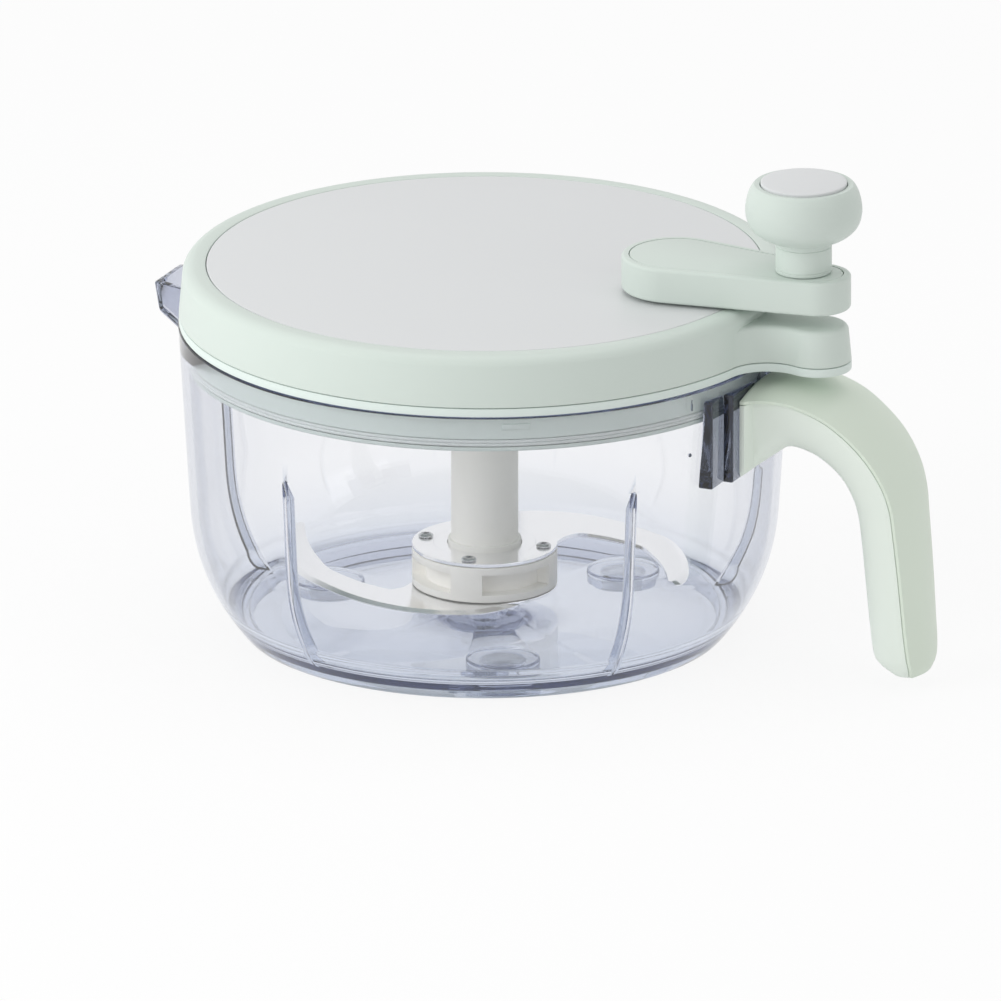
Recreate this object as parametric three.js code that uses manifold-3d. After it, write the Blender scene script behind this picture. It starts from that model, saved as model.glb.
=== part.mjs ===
// Crank food chopper: a clear bowl with a spout and a side handle, a geared lid with a
// crank, and a blade hub that turns on a steel pin in the middle of the bowl floor.
// Millimetres, +Z up. The origin is the middle of the flat underside of the bowl's centre boss.
// +X points to the handle, -X to the spout.

import * as THREE from 'three';
import { mergeVertices } from 'three/addons/utils/BufferGeometryUtils.js';
import Module from 'manifold-3d';

const wasm = await Module();
wasm.setup();

// Fits shared by all pieces
const fit_gap = 0.3;
const cut_overrun = 1.2;
const weld_distance = 0.0001;

// Facets on round shapes
const large_round_steps = 38;
const medium_round_steps = 18;
const small_round_steps = 14;
const spout_cap_steps = 28;
const fastener_steps = 8;
const outline_arc_steps = 6;
const bevel_steps = 2;
const hex_sides = 6;

// Bowl
const bowl_rim_radius = 106.6;
const bowl_height = 109.5;
const bowl_wall = 2.6;
const bowl_draft_angle = THREE.MathUtils.degToRad(3.5);
const base_curve_height = 45;
const base_curve_inset = 15;
const base_curve_power = 2.35;
const base_curve_steps = 6;
const base_curve_step_power = 1.6;
const floor_lift = 4.4;
const floor_thickness = 2.6;
const floor_corner_height = 6;
const floor_corner_reach = 5;
const floor_corner_steps = 2;
const foot_ring_wall = 2.6;
const centre_boss_radius = 12;
const pin_boss_radius = 8;
const pin_boss_rise = 3.5;

// Ribs inside the bowl
const rib_count = 5;
const rib_thickness = 2.8;
const rib_depth = 3.5;
const rib_top_height = 80;
const rib_point_length = 10;
const rib_steps = 3;
const rib_bury_share = 0.75;
const rib_foot_growth_share = 0.5;

// Feet under the bowl
const foot_count = 3;
const foot_circle_radius = 60;
const foot_boss_radius = 12.8;
const foot_boss_lift = 0.6;
const foot_boss_rise = 0.6;
const foot_pad_radius = 7.6;
const foot_pad_drop = 1;
const foot_pad_edge = 0.7;
const foot_recess_depth = 3.4;

// Spout
const spout_projection = 14.9;
const spout_mouth_width = 21.2;
const spout_flare_angle = THREE.MathUtils.degToRad(16);
const spout_wall = 2.2;
const spout_lip_rise = 1.7;
const spout_end_lean = 1.6;
const spout_end_taper = 0.8;
const spout_mouth_depth = 10.1;
const spout_root_depth = 22.9;
const spout_root_inset = 12;

// Handle pad moulded on the bowl
const pad_setback = 0.4;
const pad_half_width = 37;
const pad_height = 32;
const pad_top_drop = 4.5;
const pad_root_depth = 11;
const pad_seat_half_width = 27.3;
const pad_step_depth = 3.4;
const tongue_half_width = 5;
const tongue_depth = 1.6;
const tongue_height = 20;
const tongue_root = 2;

// Handle
const handle_reach = 59.2;
const handle_foot_lift = 3.8;
const handle_top_drop = 8.3;
const handle_half_width = 22.3;
const handle_corner = 6.5;
const handle_corner_steps = 3;
const handle_crown = 3.1;
const handle_crown_share = 0.25;
const handle_crown_steps = 8;
const handle_cover_edge = 1.1;

// Centre pin
const pin_radius = 4;
const pin_seat_lift = 1.6;
const pin_top_drop = 39.5;
const pin_tip_length = 2.4;
const pin_tip_radius = 1.4;

// Blade hub
const hub_floor_gap = 6.3;
const blade_sheet = 1.2;
const drum_radius = 25.3;
const drum_height = 13;
const drum_rim = 2.8;
const drum_window_depth = 4.6;
const drum_pillar_half_angle = THREE.MathUtils.degToRad(13);
const tube_radius = 11.7;
const tube_top_drop = 10;
const tube_step_width = 1.1;
const tube_step_height = 1.8;
const socket_depth = 16;
const rivet_count = 4;
const rivet_first_angle = THREE.MathUtils.degToRad(9);
const rivet_circle_radius = 21.2;
const rivet_shank_radius = 1.6;
const rivet_head_radius = 2.6;
const rivet_head_height = 0.9;

// Blades
const blade_reach = 80.8;
const blade_bevel_width = 2.4;
const blade_edge_share = 0.2;
const blade_bend_reach = 8;
const lower_blade_rise = 7.5;
// Each row: back edge angle and radius share, then front edge angle and radius share
const blade_station_shares = [
  [150, 0.297, 10, 0.29],
  [128, 0.353, 24, 0.312],
  [100, 0.446, 35, 0.353],
  [76, 0.545, 39, 0.421],
  [56, 0.637, 33, 0.507],
  [40.2, 0.719, 26.5, 0.582],
  [29, 0.797, 19.3, 0.672],
  [17, 0.858, 11, 0.735],
  [6, 0.918, 4, 0.798],
  [-3.9, 0.981, -3.5, 0.873],
  [-8.5, 1, -8.6, 0.928],
  [-10.3, 0.985, -10.2, 0.947],
];

// Lid
const lid_setback = 0.3;
const lid_strip_height = 3;
const lid_height = 21.2;
const lid_side_taper = 1.2;
const lid_shoulder_height = 4;
const lid_shoulder_width = 4.8;
const lid_shoulder_steps = 3;
const lid_wall = 2.6;
const lid_roof = 2.5;
const lid_rim_width = 3.6;
const plate_thickness = 2;
const plate_edge = 0.4;
const lobe_centre_reach = 20;
const lobe_radius = 11.8;
const lobe_fillet_radius = 14;
const lobe_top_drop = 5;
const lobe_bevel = 2.0;
const spout_cap_radius = 60;
const spout_cap_reach = 2.8;
const spout_cap_drop = 7;

// Collar, seal and lugs under the lid
const collar_clearance = 0.6;
const collar_wall = 2.2;
const collar_depth = 13.2;
const seal_height = 2.4;
const seal_groove_depth = 1.1;
const seal_lift = 1.8;
const seal_lip_share = 0.3;
const lug_count = 3;
const lug_width = 9.8;
const lug_height = 2.2;
const lug_reach = 0.6;
const lug_drop = 3.1;

// Gear train in the lid
const crank_teeth = 42;
const idler_teeth = 30;
const output_teeth = 16;
const train_bend_angle = THREE.MathUtils.degToRad(10.24);
const train_wall_clearance = 2;
const pressure_angle = THREE.MathUtils.degToRad(20);
const tooth_backlash_share = 0.05;
const addendum_share = 1;
const dedendum_share = 1.25;
const flank_steps = 3;
const gear_thickness = 7;
const gear_hub_rise = 0.5;
const idler_axle_radius = 4;
const idler_hub_radius = 7.5;
const axle_boss_radius = 8;
const axle_boss_height = 2.8;
const axle_floor = 1.1;
const roof_floor = 1.2;
const output_journal_radius = 8;
const output_pin_radius = 4;
const spigot_flat_radius = 4.5;
const bush_wall = 2.2;
const bush_flange_width = 3;
const bush_flange_height = 1.5;
const output_boss_wall = 3.4;
const output_boss_drop = 8.6;
const lid_screw_count = 4;
const lid_screw_circle_inset = 15;
const lid_screw_radius = 1.6;
const lid_screw_head_radius = 3.4;
const lid_screw_head_height = 1.8;
const lid_screw_length = 9;
const lid_screw_boss_radius = 4.6;

// Crank
const crank_arm_lift = 1;
const crank_arm_height = 12.3;
const crank_arm_bevel = 1.2;
const crank_pivot_radius = 19.3;
const crank_end_radius = 11.8;
const crank_throw = 47.9;
const crank_end_overhang = 5.1;
const crank_inlay_inset = 2.5;
const crank_inlay_thickness = 2;
const crank_lower_journal_radius = 5;
const crank_upper_journal_radius = 7;
const crank_hex_flat_radius = 5;
const crank_web = 2;
const crank_screw_radius = 2;
const crank_screw_head_radius = 4.4;
const crank_screw_head_height = 1.5;
const crank_screw_length = 10;
const crank_gear_hub_radius = 9.5;

// Knob
const stem_radius = 9.8;
const stem_height = 11.4;
const stem_flare = 0.7;
const spindle_radius = 3;
const spindle_seat_depth = 8.5;
const spindle_head_radius = 6.2;
const spindle_head_height = 2.6;
const knob_height = 19.8;
const knob_radius = 20.3;
const knob_neck_radius = 11.2;
const knob_web_lift = 7;
const knob_web = 4;
const knob_cap_radius = 15;
const knob_cap_thickness = 3;
const knob_cap_dome = 0.6;
const knob_cap_steps = 4;
// Each row: radius share of the swell from neck to widest, and height share
const knob_profile_shares = [
  [0, 0],
  [0.34, 0.05],
  [0.68, 0.16],
  [0.9, 0.3],
  [1, 0.5],
  [0.97, 0.68],
  [0.88, 0.84],
  [0.76, 0.95],
  [0.66, 1],
];

// Handle stations, root to tip. Each row: outer edge reach and height shares, inner edge reach and
// height shares, the width share and the share of the corner round
const handle_station_shares = [
  [0, 0.99, 0, 0.717, 1, 0.22],
  [0.032, 0.992, 0.032, 0.731, 1, 0.22],
  [0.049, 0.993, 0.049, 0.739, 0.942, 0.45],
  [0.172, 1, 0.16, 0.79, 0.919, 0.8],
  [0.316, 0.993, 0.253, 0.825, 0.888, 1],
  [0.483, 0.96, 0.385, 0.814, 0.857, 1],
  [0.623, 0.907, 0.485, 0.783, 0.821, 1],
  [0.752, 0.834, 0.576, 0.733, 0.794, 1],
  [0.85, 0.744, 0.633, 0.669, 0.744, 1],
  [0.904, 0.651, 0.666, 0.598, 0.695, 1],
  [0.927, 0.537, 0.684, 0.494, 0.659, 1],
  [0.956, 0.361, 0.704, 0.341, 0.623, 1],
  [0.98, 0.187, 0.725, 0.191, 0.587, 1],
  [0.995, 0.089, 0.748, 0.074, 0.552, 1],
  [1, 0.039, 0.796, 0.031, 0.489, 1],
  [0.988, 0.004, 0.877, 0, 0.386, 1],
];

// Finishes seen on the object
const mint_plastic = { color: 0xc9dccb, roughness: 0.42, metalness: 0 };
const pale_plate = { color: 0xe0e3e2, roughness: 0.38, metalness: 0 };
const clear_plastic = { color: 0xdfe6f0, roughness: 0.08, metalness: 0, opacity: 0.35, transparent: true };
const cream_plastic = { color: 0xf3eedf, roughness: 0.45, metalness: 0 };
const steel = { color: 0xc9ccce, roughness: 0.22, metalness: 1 };
const white_acetal = { color: 0xf2f2ee, roughness: 0.5, metalness: 0 };
const bronze = { color: 0xb08a52, roughness: 0.4, metalness: 1 };
const silicone = { color: 0xe9ebe8, roughness: 0.7, metalness: 0 };

// Closed body from a geometry, ready to be joined or cut
function toSolid(geometry) {
  const bare = geometry.clone();
  bare.deleteAttribute('normal');
  bare.deleteAttribute('uv');
  const merged = mergeVertices(bare, weld_distance);
  const corners = merged.index.array;
  const triangles = [];
  for (let i = 0; i < corners.length; i += 3) {
    const [a, b, c] = [corners[i], corners[i + 1], corners[i + 2]];
    if (a !== b && b !== c && c !== a) triangles.push(a, b, c);
  }
  const vertProperties = new Float32Array(merged.attributes.position.array);
  const build = (list) => {
    const mesh = new wasm.Mesh({ numProp: 3, vertProperties, triVerts: new Uint32Array(list) });
    return new wasm.Manifold(mesh);
  };
  const solid = build(triangles);
  return solid.volume() < 0 ? build(triangles.reverse()) : solid;
}

function toGeometry(solid) {
  const mesh = solid.getMesh();
  const geometry = new THREE.BufferGeometry();
  geometry.setAttribute('position', new THREE.BufferAttribute(new Float32Array(mesh.vertProperties), 3));
  geometry.setIndex(new THREE.BufferAttribute(new Uint32Array(mesh.triVerts), 1));
  geometry.computeVertexNormals();
  return geometry;
}

function join(first, ...others) {
  return toGeometry(others.reduce((sum, next) => sum.add(toSolid(next)), toSolid(first)));
}

function cut(body, ...cutters) {
  return toGeometry(cutters.reduce((rest, cutter) => rest.subtract(toSolid(cutter)), toSolid(body)));
}

// Body of revolution about Z from [radius, height] points that close on themselves or on the axis
function revolve(profile, steps = medium_round_steps) {
  const points = profile.map(([radius, height]) => new THREE.Vector2(radius, height));
  const on_axis = profile[0][0] === 0 && profile[profile.length - 1][0] === 0;
  if (!on_axis) points.push(points[0].clone());
  return new THREE.LatheGeometry(points, steps).rotateX(Math.PI / 2);
}

function disc(radius, low, high, steps = medium_round_steps) {
  return revolve([[0, low], [radius, low], [radius, high], [0, high]], steps);
}

function ring(inner, outer, low, high, steps = medium_round_steps) {
  return revolve([[inner, low], [outer, low], [outer, high], [inner, high]], steps);
}

// Six-sided bar whose flats lie at flat_radius from its axis
function hexBar(flat_radius, low, high) {
  return disc(flat_radius / Math.cos(Math.PI / hex_sides), low, high, hex_sides);
}

// The same outline as straight runs, with points that coincide left out
function plainOutline(shape, steps) {
  const points = shape.getPoints(steps);
  const kept = points.filter((point, i) => point.distanceTo(points[(i + 1) % points.length]) > weld_distance);
  return new THREE.Shape(kept);
}

function prism(shape, low, high, steps = outline_arc_steps) {
  const options = { depth: high - low, bevelEnabled: false };
  return new THREE.ExtrudeGeometry(plainOutline(shape, steps), options).translate(0, 0, low);
}

// Prism whose top and bottom edges are rounded by a bevel inside its outline
function softPrism(shape, low, high, bevel, steps = outline_arc_steps) {
  const options = {
    depth: high - low - bevel - bevel,
    bevelEnabled: true,
    bevelThickness: bevel,
    bevelSize: bevel,
    bevelOffset: -bevel,
    bevelSegments: bevel_steps,
  };
  return new THREE.ExtrudeGeometry(plainOutline(shape, steps), options).translate(0, 0, low + bevel);
}

function block(low, high) {
  const size = new THREE.Vector3().subVectors(high, low);
  const middle = new THREE.Vector3().addVectors(low, high).multiplyScalar(1 / 2);
  return new THREE.BoxGeometry(size.x, size.y, size.z).translate(middle.x, middle.y, middle.z);
}

// Closed skin through rings of equally many points, with flat ends
function loft(rings) {
  const count = rings[0].length;
  const corners = rings.flat().flatMap((point) => [point.x, point.y, point.z]);
  const faces = [];
  for (let i = 0; i + 1 < rings.length; i++) {
    for (let j = 0; j < count; j++) {
      const k = (j + 1) % count;
      const [a, b] = [i * count + j, i * count + k];
      const [c, d] = [a + count, b + count];
      faces.push(a, b, d, a, d, c);
    }
  }
  const last = (rings.length - 1) * count;
  for (let j = 1; j + 1 < count; j++) {
    faces.push(0, j + 1, j, last, last + j, last + j + 1);
  }
  const geometry = new THREE.BufferGeometry();
  geometry.setAttribute('position', new THREE.Float32BufferAttribute(corners, 3));
  geometry.setIndex(faces);
  return geometry;
}

// Angles of count equal steps round a circle
function turns(count, first = 0) {
  return Array.from({ length: count }, (_, i) => first + (i * Math.PI * 2) / count);
}

function onCircle(radius, angle) {
  return [radius * Math.cos(angle), radius * Math.sin(angle)];
}

const group = new THREE.Group();

function addPiece(name, geometry, finish) {
  const mesh = new THREE.Mesh(toGeometry(toSolid(geometry)), new THREE.MeshStandardMaterial(finish));
  mesh.name = name;
  group.add(mesh);
  return mesh;
}

// Heights and radii that several pieces share
const floor_top = floor_lift + floor_thickness;
const pad_face_x = bowl_rim_radius - pad_setback;
const pad_top = bowl_height - pad_top_drop;
const pad_bottom = pad_top - pad_height;
const pin_tip_height = bowl_height - pin_top_drop;
const lid_bottom = bowl_height + fit_gap;
const lid_radius = bowl_rim_radius - lid_setback;
const strip_top = lid_bottom + lid_strip_height;
const shell_bottom = strip_top + fit_gap;
const lid_top = lid_bottom + lid_height;
const recess_floor = lid_top - plate_thickness - fit_gap;
const cavity_roof = recess_floor - lid_roof;
const cavity_radius = lid_radius - lid_side_taper - lid_wall;
const lobe_centre_x = lid_radius + lobe_centre_reach;
const spout_cap_x = spout_cap_radius - lid_radius - spout_cap_reach;
const spigot_radius = spigot_flat_radius / Math.cos(Math.PI / hex_sides);

function bowlOuterRadius(height) {
  const straight = bowl_rim_radius - (bowl_height - height) * Math.tan(bowl_draft_angle);
  if (height >= base_curve_height) return straight;
  const depth_share = (base_curve_height - height) / base_curve_height;
  return straight - base_curve_inset * depth_share ** base_curve_power;
}

function bowlInnerRadius(height) {
  return bowlOuterRadius(height) - bowl_wall;
}

// Outer wall points from the foot ring to the rim
function bowlOuterProfile() {
  const points = [];
  for (let i = 0; i <= base_curve_steps; i++) {
    const height = base_curve_height * (i / base_curve_steps) ** base_curve_step_power;
    points.push([bowlOuterRadius(height), height]);
  }
  points.push([bowl_rim_radius, bowl_height]);
  return points;
}

// Space inside the bowl, from the floor to above the rim
function bowlInterior() {
  const corner_top = floor_top + floor_corner_height;
  const corner_radius = bowlInnerRadius(corner_top);
  const points = [[0, floor_top]];
  for (let i = 0; i <= floor_corner_steps; i++) {
    const angle = (i / floor_corner_steps) * (Math.PI / 2);
    const radius = corner_radius - floor_corner_reach * (1 - Math.sin(angle));
    points.push([radius, corner_top - floor_corner_height * Math.cos(angle)]);
  }
  for (let i = 0; i <= base_curve_steps; i++) {
    const height = base_curve_height * (i / base_curve_steps) ** base_curve_step_power;
    if (height > corner_top) points.push([bowlInnerRadius(height), height]);
  }
  const above_rim = bowl_height + cut_overrun;
  points.push([bowlInnerRadius(above_rim), above_rim], [0, above_rim]);
  return revolve(points, large_round_steps);
}

// Pointed rib that stands on the floor against the wall
function bowlRib(angle) {
  const shape = new THREE.Shape();
  const bury = (height) => bowlInnerRadius(height) + bowl_wall * rib_bury_share;
  const low = floor_top - floor_thickness / 2;
  shape.moveTo(bury(rib_top_height), rib_top_height);
  for (let i = 0; i <= rib_steps; i++) {
    const top = rib_top_height - rib_point_length;
    const height = top - (top - floor_top) * (i / rib_steps);
    const foot_share = Math.max(0, 1 - (height - floor_top) / base_curve_height);
    const inward = rib_depth * (1 + rib_foot_growth_share * foot_share ** 2);
    shape.lineTo(bowlInnerRadius(height) - inward, height);
  }
  shape.lineTo(bowlInnerRadius(floor_top) - floor_corner_reach, low);
  for (let i = rib_steps; i > 0; i--) {
    const height = rib_top_height - (rib_top_height - low) * (i / rib_steps);
    shape.lineTo(bury(height), height);
  }
  const plate = prism(shape, -rib_thickness / 2, rib_thickness / 2);
  return plate.rotateX(Math.PI / 2).rotateZ(angle);
}

// Six-faced wedge of the spout up to top, drawn in on its sides, end and floor by inset
function spoutWedge(inset, top) {
  const root_x = bowl_rim_radius - spout_root_inset;
  const mouth_x = bowl_rim_radius + spout_projection - inset;
  const foot_x = mouth_x - spout_end_lean;
  const skew = Math.tan(spout_flare_angle) - 1 / Math.cos(spout_flare_angle);
  const mouth_half = spout_mouth_width / 2 + inset * skew;
  const root_half = mouth_half + (mouth_x - root_x) * Math.tan(spout_flare_angle);
  const foot_half = mouth_half - spout_end_taper;
  const root_low = bowl_height - spout_root_depth + inset;
  const foot_low = bowl_height - spout_mouth_depth + inset;
  const face = (low_x, low_half, low, high_x, high_half) => [
    new THREE.Vector3(-low_x, -low_half, low),
    new THREE.Vector3(-low_x, low_half, low),
    new THREE.Vector3(-high_x, high_half, top),
    new THREE.Vector3(-high_x, -high_half, top),
  ];
  const root = face(root_x, root_half, root_low, root_x, root_half);
  return loft([root, face(foot_x, foot_half, foot_low, mouth_x, mouth_half)]);
}

// Pouch of the spout; its lip stands above the rim outside the lid's cap
function buildSpout() {
  const lip_top = bowl_height + spout_lip_rise;
  const under_cap = disc(spout_cap_radius + fit_gap, bowl_height, lip_top + cut_overrun, spout_cap_steps);
  return cut(spoutWedge(0, lip_top), under_cap.translate(spout_cap_x, 0, 0));
}

function buildBowl() {
  const outer = revolve([[0, 0], ...bowlOuterProfile(), [0, bowl_height]], large_round_steps);
  const ring_inner = bowlOuterRadius(0) - foot_ring_wall;
  const underside = ring(centre_boss_radius, ring_inner, -cut_overrun, floor_lift, large_round_steps);
  const padBlock = (half, face_x) => {
    const low = new THREE.Vector3(pad_face_x - pad_root_depth, -half, pad_bottom);
    return block(low, new THREE.Vector3(face_x, half, pad_top));
  };
  const pad = padBlock(pad_half_width, pad_face_x - pad_step_depth);
  const seat = padBlock(pad_seat_half_width, pad_face_x);
  const channel = spoutWedge(spout_wall, bowl_height + spout_lip_rise + cut_overrun);
  const body = cut(join(outer, buildSpout(), pad, seat), bowlInterior(), underside, channel);

  const slot = tongueBar(fit_gap, pad_bottom - cut_overrun, pad_face_x + cut_overrun);
  const feet = turns(foot_count, Math.PI).map((angle) => {
    const [x, y] = onCircle(foot_circle_radius, angle);
    const top = floor_top + foot_boss_rise;
    return disc(foot_boss_radius, foot_boss_lift, top, small_round_steps).translate(x, y, 0);
  });
  const recesses = turns(foot_count, Math.PI).map((angle) => {
    const [x, y] = onCircle(foot_circle_radius, angle);
    const top = foot_boss_lift + foot_recess_depth;
    return disc(foot_pad_radius + fit_gap, -cut_overrun, top, small_round_steps).translate(x, y, 0);
  });
  const boss_top = floor_top + pin_boss_rise;
  const pin_boss = disc(pin_boss_radius, floor_top - floor_thickness / 2, boss_top, small_round_steps);
  const pin_hole_radius = pin_radius + fit_gap;
  const pin_seat = disc(pin_hole_radius, pin_seat_lift, boss_top + cut_overrun, small_round_steps);
  const ribs = turns(rib_count, Math.PI).map(bowlRib);
  return cut(join(body, ...ribs, ...feet, pin_boss), slot, ...recesses, pin_seat);
}

// Upright bar at the pad face from low_z to the tongue's top, grown by gap
function tongueBar(gap, low_z, high_x) {
  const low = new THREE.Vector3(pad_face_x - tongue_depth - gap, -tongue_half_width - gap, low_z);
  return block(low, new THREE.Vector3(high_x, tongue_half_width + gap, pad_bottom + tongue_height + gap));
}

function buildFootPad(angle) {
  const [x, y] = onCircle(foot_circle_radius, angle);
  const top = foot_boss_lift + foot_recess_depth - fit_gap;
  const profile = [
    [0, -foot_pad_drop],
    [foot_pad_radius - foot_pad_edge, -foot_pad_drop],
    [foot_pad_radius, foot_pad_edge - foot_pad_drop],
    [foot_pad_radius, top],
    [0, top],
  ];
  return revolve(profile, small_round_steps).translate(x, y, 0);
}

function buildCentrePin() {
  const low = pin_seat_lift + fit_gap;
  const profile = [
    [0, low],
    [pin_radius, low],
    [pin_radius, pin_tip_height - pin_tip_length],
    [pin_tip_radius, pin_tip_height],
    [0, pin_tip_height],
  ];
  return revolve(profile, small_round_steps);
}

// Inner and outer edge points and half width of each handle station
function handleStations() {
  const root_x = pad_face_x + fit_gap;
  const top = bowl_height - handle_top_drop;
  const place = (reach_share, height_share) => {
    const height = handle_foot_lift + (top - handle_foot_lift) * height_share;
    return new THREE.Vector3(root_x + handle_reach * reach_share, 0, height);
  };
  return handle_station_shares.map(([outer_x, outer_z, inner_x, inner_z, width, round]) => ({
    outer: place(outer_x, outer_z),
    inner: place(inner_x, inner_z),
    half: handle_half_width * width,
    corner: handle_corner * round,
  }));
}

// Section point at side along Y and depth from the inner edge towards the outer edge
function sectionPoint(station, side, depth) {
  const along = new THREE.Vector3().subVectors(station.outer, station.inner).normalize();
  return station.inner.clone().addScaledVector(along, depth).setY(side);
}

function buildHandleGrip() {
  const rings = handleStations().map((station) => {
    const depth = station.outer.distanceTo(station.inner) - fit_gap;
    const corner = Math.min(station.corner, depth / 2, station.half / 2);
    const points = [sectionPoint(station, station.half, depth), sectionPoint(station, -station.half, depth)];
    for (const side of [-1, 1]) {
      for (let i = 0; i <= handle_corner_steps; i++) {
        const turn = (i / handle_corner_steps) * (Math.PI / 2);
        const swing = side < 0 ? turn : Math.PI / 2 - turn;
        const width = station.half - corner * (1 - Math.cos(swing));
        points.push(sectionPoint(station, side * width, corner * (1 - Math.sin(swing))));
      }
    }
    return points;
  });
  return join(loft(rings), tongueBar(0, pad_bottom + tongue_root, pad_face_x + tongue_root));
}

function buildHandleCover() {
  const rings = handleStations().map((station) => {
    const base = station.outer.distanceTo(station.inner);
    const crown = Math.min(handle_crown, station.half * handle_crown_share);
    const points = [sectionPoint(station, station.half, base), sectionPoint(station, -station.half, base)];
    for (let i = 0; i <= handle_crown_steps; i++) {
      const side_share = -Math.cos((i / handle_crown_steps) * Math.PI);
      const rise = crown * (1 - side_share * side_share);
      points.push(sectionPoint(station, station.half * side_share, base + handle_cover_edge + rise));
    }
    return points;
  });
  return loft(rings);
}

// Hub heights, from the floor up
const lower_blade_bottom = floor_top + hub_floor_gap;
const drum_bottom = lower_blade_bottom + blade_sheet + fit_gap;
const drum_top = drum_bottom + drum_height;
const upper_blade_bottom = drum_top + fit_gap;
const tube_step_radius = tube_radius + tube_step_width;
const blade_hole_radius = tube_step_radius + fit_gap;
const tube_top = bowl_height - tube_top_drop;
const socket_floor = tube_top - socket_depth;

function rivetPlaces() {
  return turns(rivet_count, rivet_first_angle).map((angle) => onCircle(rivet_circle_radius, angle));
}

function rivetHoles(low, high) {
  const radius = rivet_shank_radius + fit_gap;
  return rivetPlaces().map(([x, y]) => disc(radius, low, high, fastener_steps).translate(x, y, 0));
}

function drumWindow(angle) {
  const half = Math.PI / rivet_count - drum_pillar_half_angle;
  const shape = new THREE.Shape();
  const far = drum_radius + cut_overrun;
  shape.absarc(0, 0, far, angle - half, angle + half, false);
  shape.absarc(0, 0, drum_radius - drum_window_depth, angle + half, angle - half, true);
  return prism(shape, drum_bottom + drum_rim, drum_top - drum_rim);
}

function buildBladeHub() {
  const step_top = upper_blade_bottom + blade_sheet + tube_step_height;
  const drum = disc(drum_radius, drum_bottom, drum_top);
  const step = disc(tube_step_radius, drum_bottom, step_top);
  const tube = disc(tube_radius, drum_bottom, tube_top);
  const bore_top = pin_tip_height + fit_gap;
  const bore = disc(pin_radius + fit_gap, drum_bottom - cut_overrun, bore_top, small_round_steps);
  const socket = hexBar(spigot_flat_radius + fit_gap, socket_floor, tube_top + cut_overrun);
  const windows = turns(rivet_count, rivet_first_angle + Math.PI / rivet_count).map(drumWindow);
  const holes = rivetHoles(drum_bottom - cut_overrun, drum_top + cut_overrun);
  return cut(join(drum, step, tube), bore, socket, ...windows, ...holes);
}

// Ring and curved arm stamped from one sheet; past its bend the arm climbs by rise to its tip
function buildBlade(bottom, rise, turn) {
  const degree = Math.PI / 180;
  const bend_radius = drum_radius + blade_bend_reach;
  const climb = (radius) => (rise * Math.max(0, radius - bend_radius)) / (blade_reach - bend_radius);
  const rings = blade_station_shares.map(([back_angle, back_share, front_angle, front_share]) => {
    const [back_x, back_y] = onCircle(blade_reach * back_share, back_angle * degree + turn);
    const [front_x, front_y] = onCircle(blade_reach * front_share, front_angle * degree + turn);
    const back = new THREE.Vector3(back_x, back_y, bottom + climb(blade_reach * back_share));
    const front = new THREE.Vector3(front_x, front_y, bottom + climb(blade_reach * front_share));
    const width = back.distanceTo(front);
    const bevel_share = Math.min(blade_bevel_width, width / 2) / width;
    const bevel = back.clone().lerp(front, bevel_share);
    const lifted = (point, height) => point.clone().setZ(point.z + height);
    return [
      back,
      lifted(back, blade_sheet * blade_edge_share),
      lifted(bevel, blade_sheet),
      lifted(front, blade_sheet),
      front,
    ];
  });
  const plate = disc(drum_radius, bottom, bottom + blade_sheet);
  const hole = disc(blade_hole_radius, bottom - cut_overrun, bottom + blade_sheet + cut_overrun);
  const holes = rivetHoles(bottom - cut_overrun, bottom + blade_sheet + cut_overrun);
  return cut(join(loft(rings), plate), hole, ...holes);
}

function buildRivet([x, y]) {
  const low = lower_blade_bottom - fit_gap;
  const high = upper_blade_bottom + blade_sheet + fit_gap;
  const profile = [
    [0, low - rivet_head_height],
    [rivet_head_radius, low - rivet_head_height],
    [rivet_head_radius, low],
    [rivet_shank_radius, low],
    [rivet_shank_radius, high],
    [rivet_head_radius, high],
    [rivet_head_radius, high + rivet_head_height / 2],
    [rivet_shank_radius, high + rivet_head_height],
    [0, high + rivet_head_height],
  ];
  return revolve(profile, fastener_steps).translate(x, y, 0);
}

// Plan outline of the lobe over the handle, run back into the round of the lid
function lobeShape() {
  const reach = lid_radius + lobe_fillet_radius;
  const span = lobe_radius + lobe_fillet_radius;
  const fillet_x = (reach ** 2 - span ** 2 + lobe_centre_x ** 2) / (lobe_centre_x + lobe_centre_x);
  const fillet_y = Math.sqrt(reach ** 2 - fillet_x ** 2);
  const lid_angle = Math.atan2(fillet_y, fillet_x);
  const lobe_angle = Math.atan2(fillet_y, fillet_x - lobe_centre_x);
  const shape = new THREE.Shape();
  const root_x = cavity_radius * Math.cos(lid_angle);
  const root_y = lid_radius * Math.sin(lid_angle);
  shape.moveTo(root_x, root_y);
  shape.lineTo(root_x, -root_y);
  shape.absarc(fillet_x, -fillet_y, lobe_fillet_radius, Math.PI - lid_angle, Math.PI - lobe_angle, true);
  shape.absarc(lobe_centre_x, 0, lobe_radius, -lobe_angle, lobe_angle, false);
  shape.absarc(fillet_x, fillet_y, lobe_fillet_radius, lobe_angle - Math.PI, lid_angle - Math.PI, true);
  return shape;
}

function spoutCapShape() {
  const shape = new THREE.Shape();
  shape.absarc(spout_cap_x, 0, spout_cap_radius, 0, Math.PI * 2, false);
  return shape;
}

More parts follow.
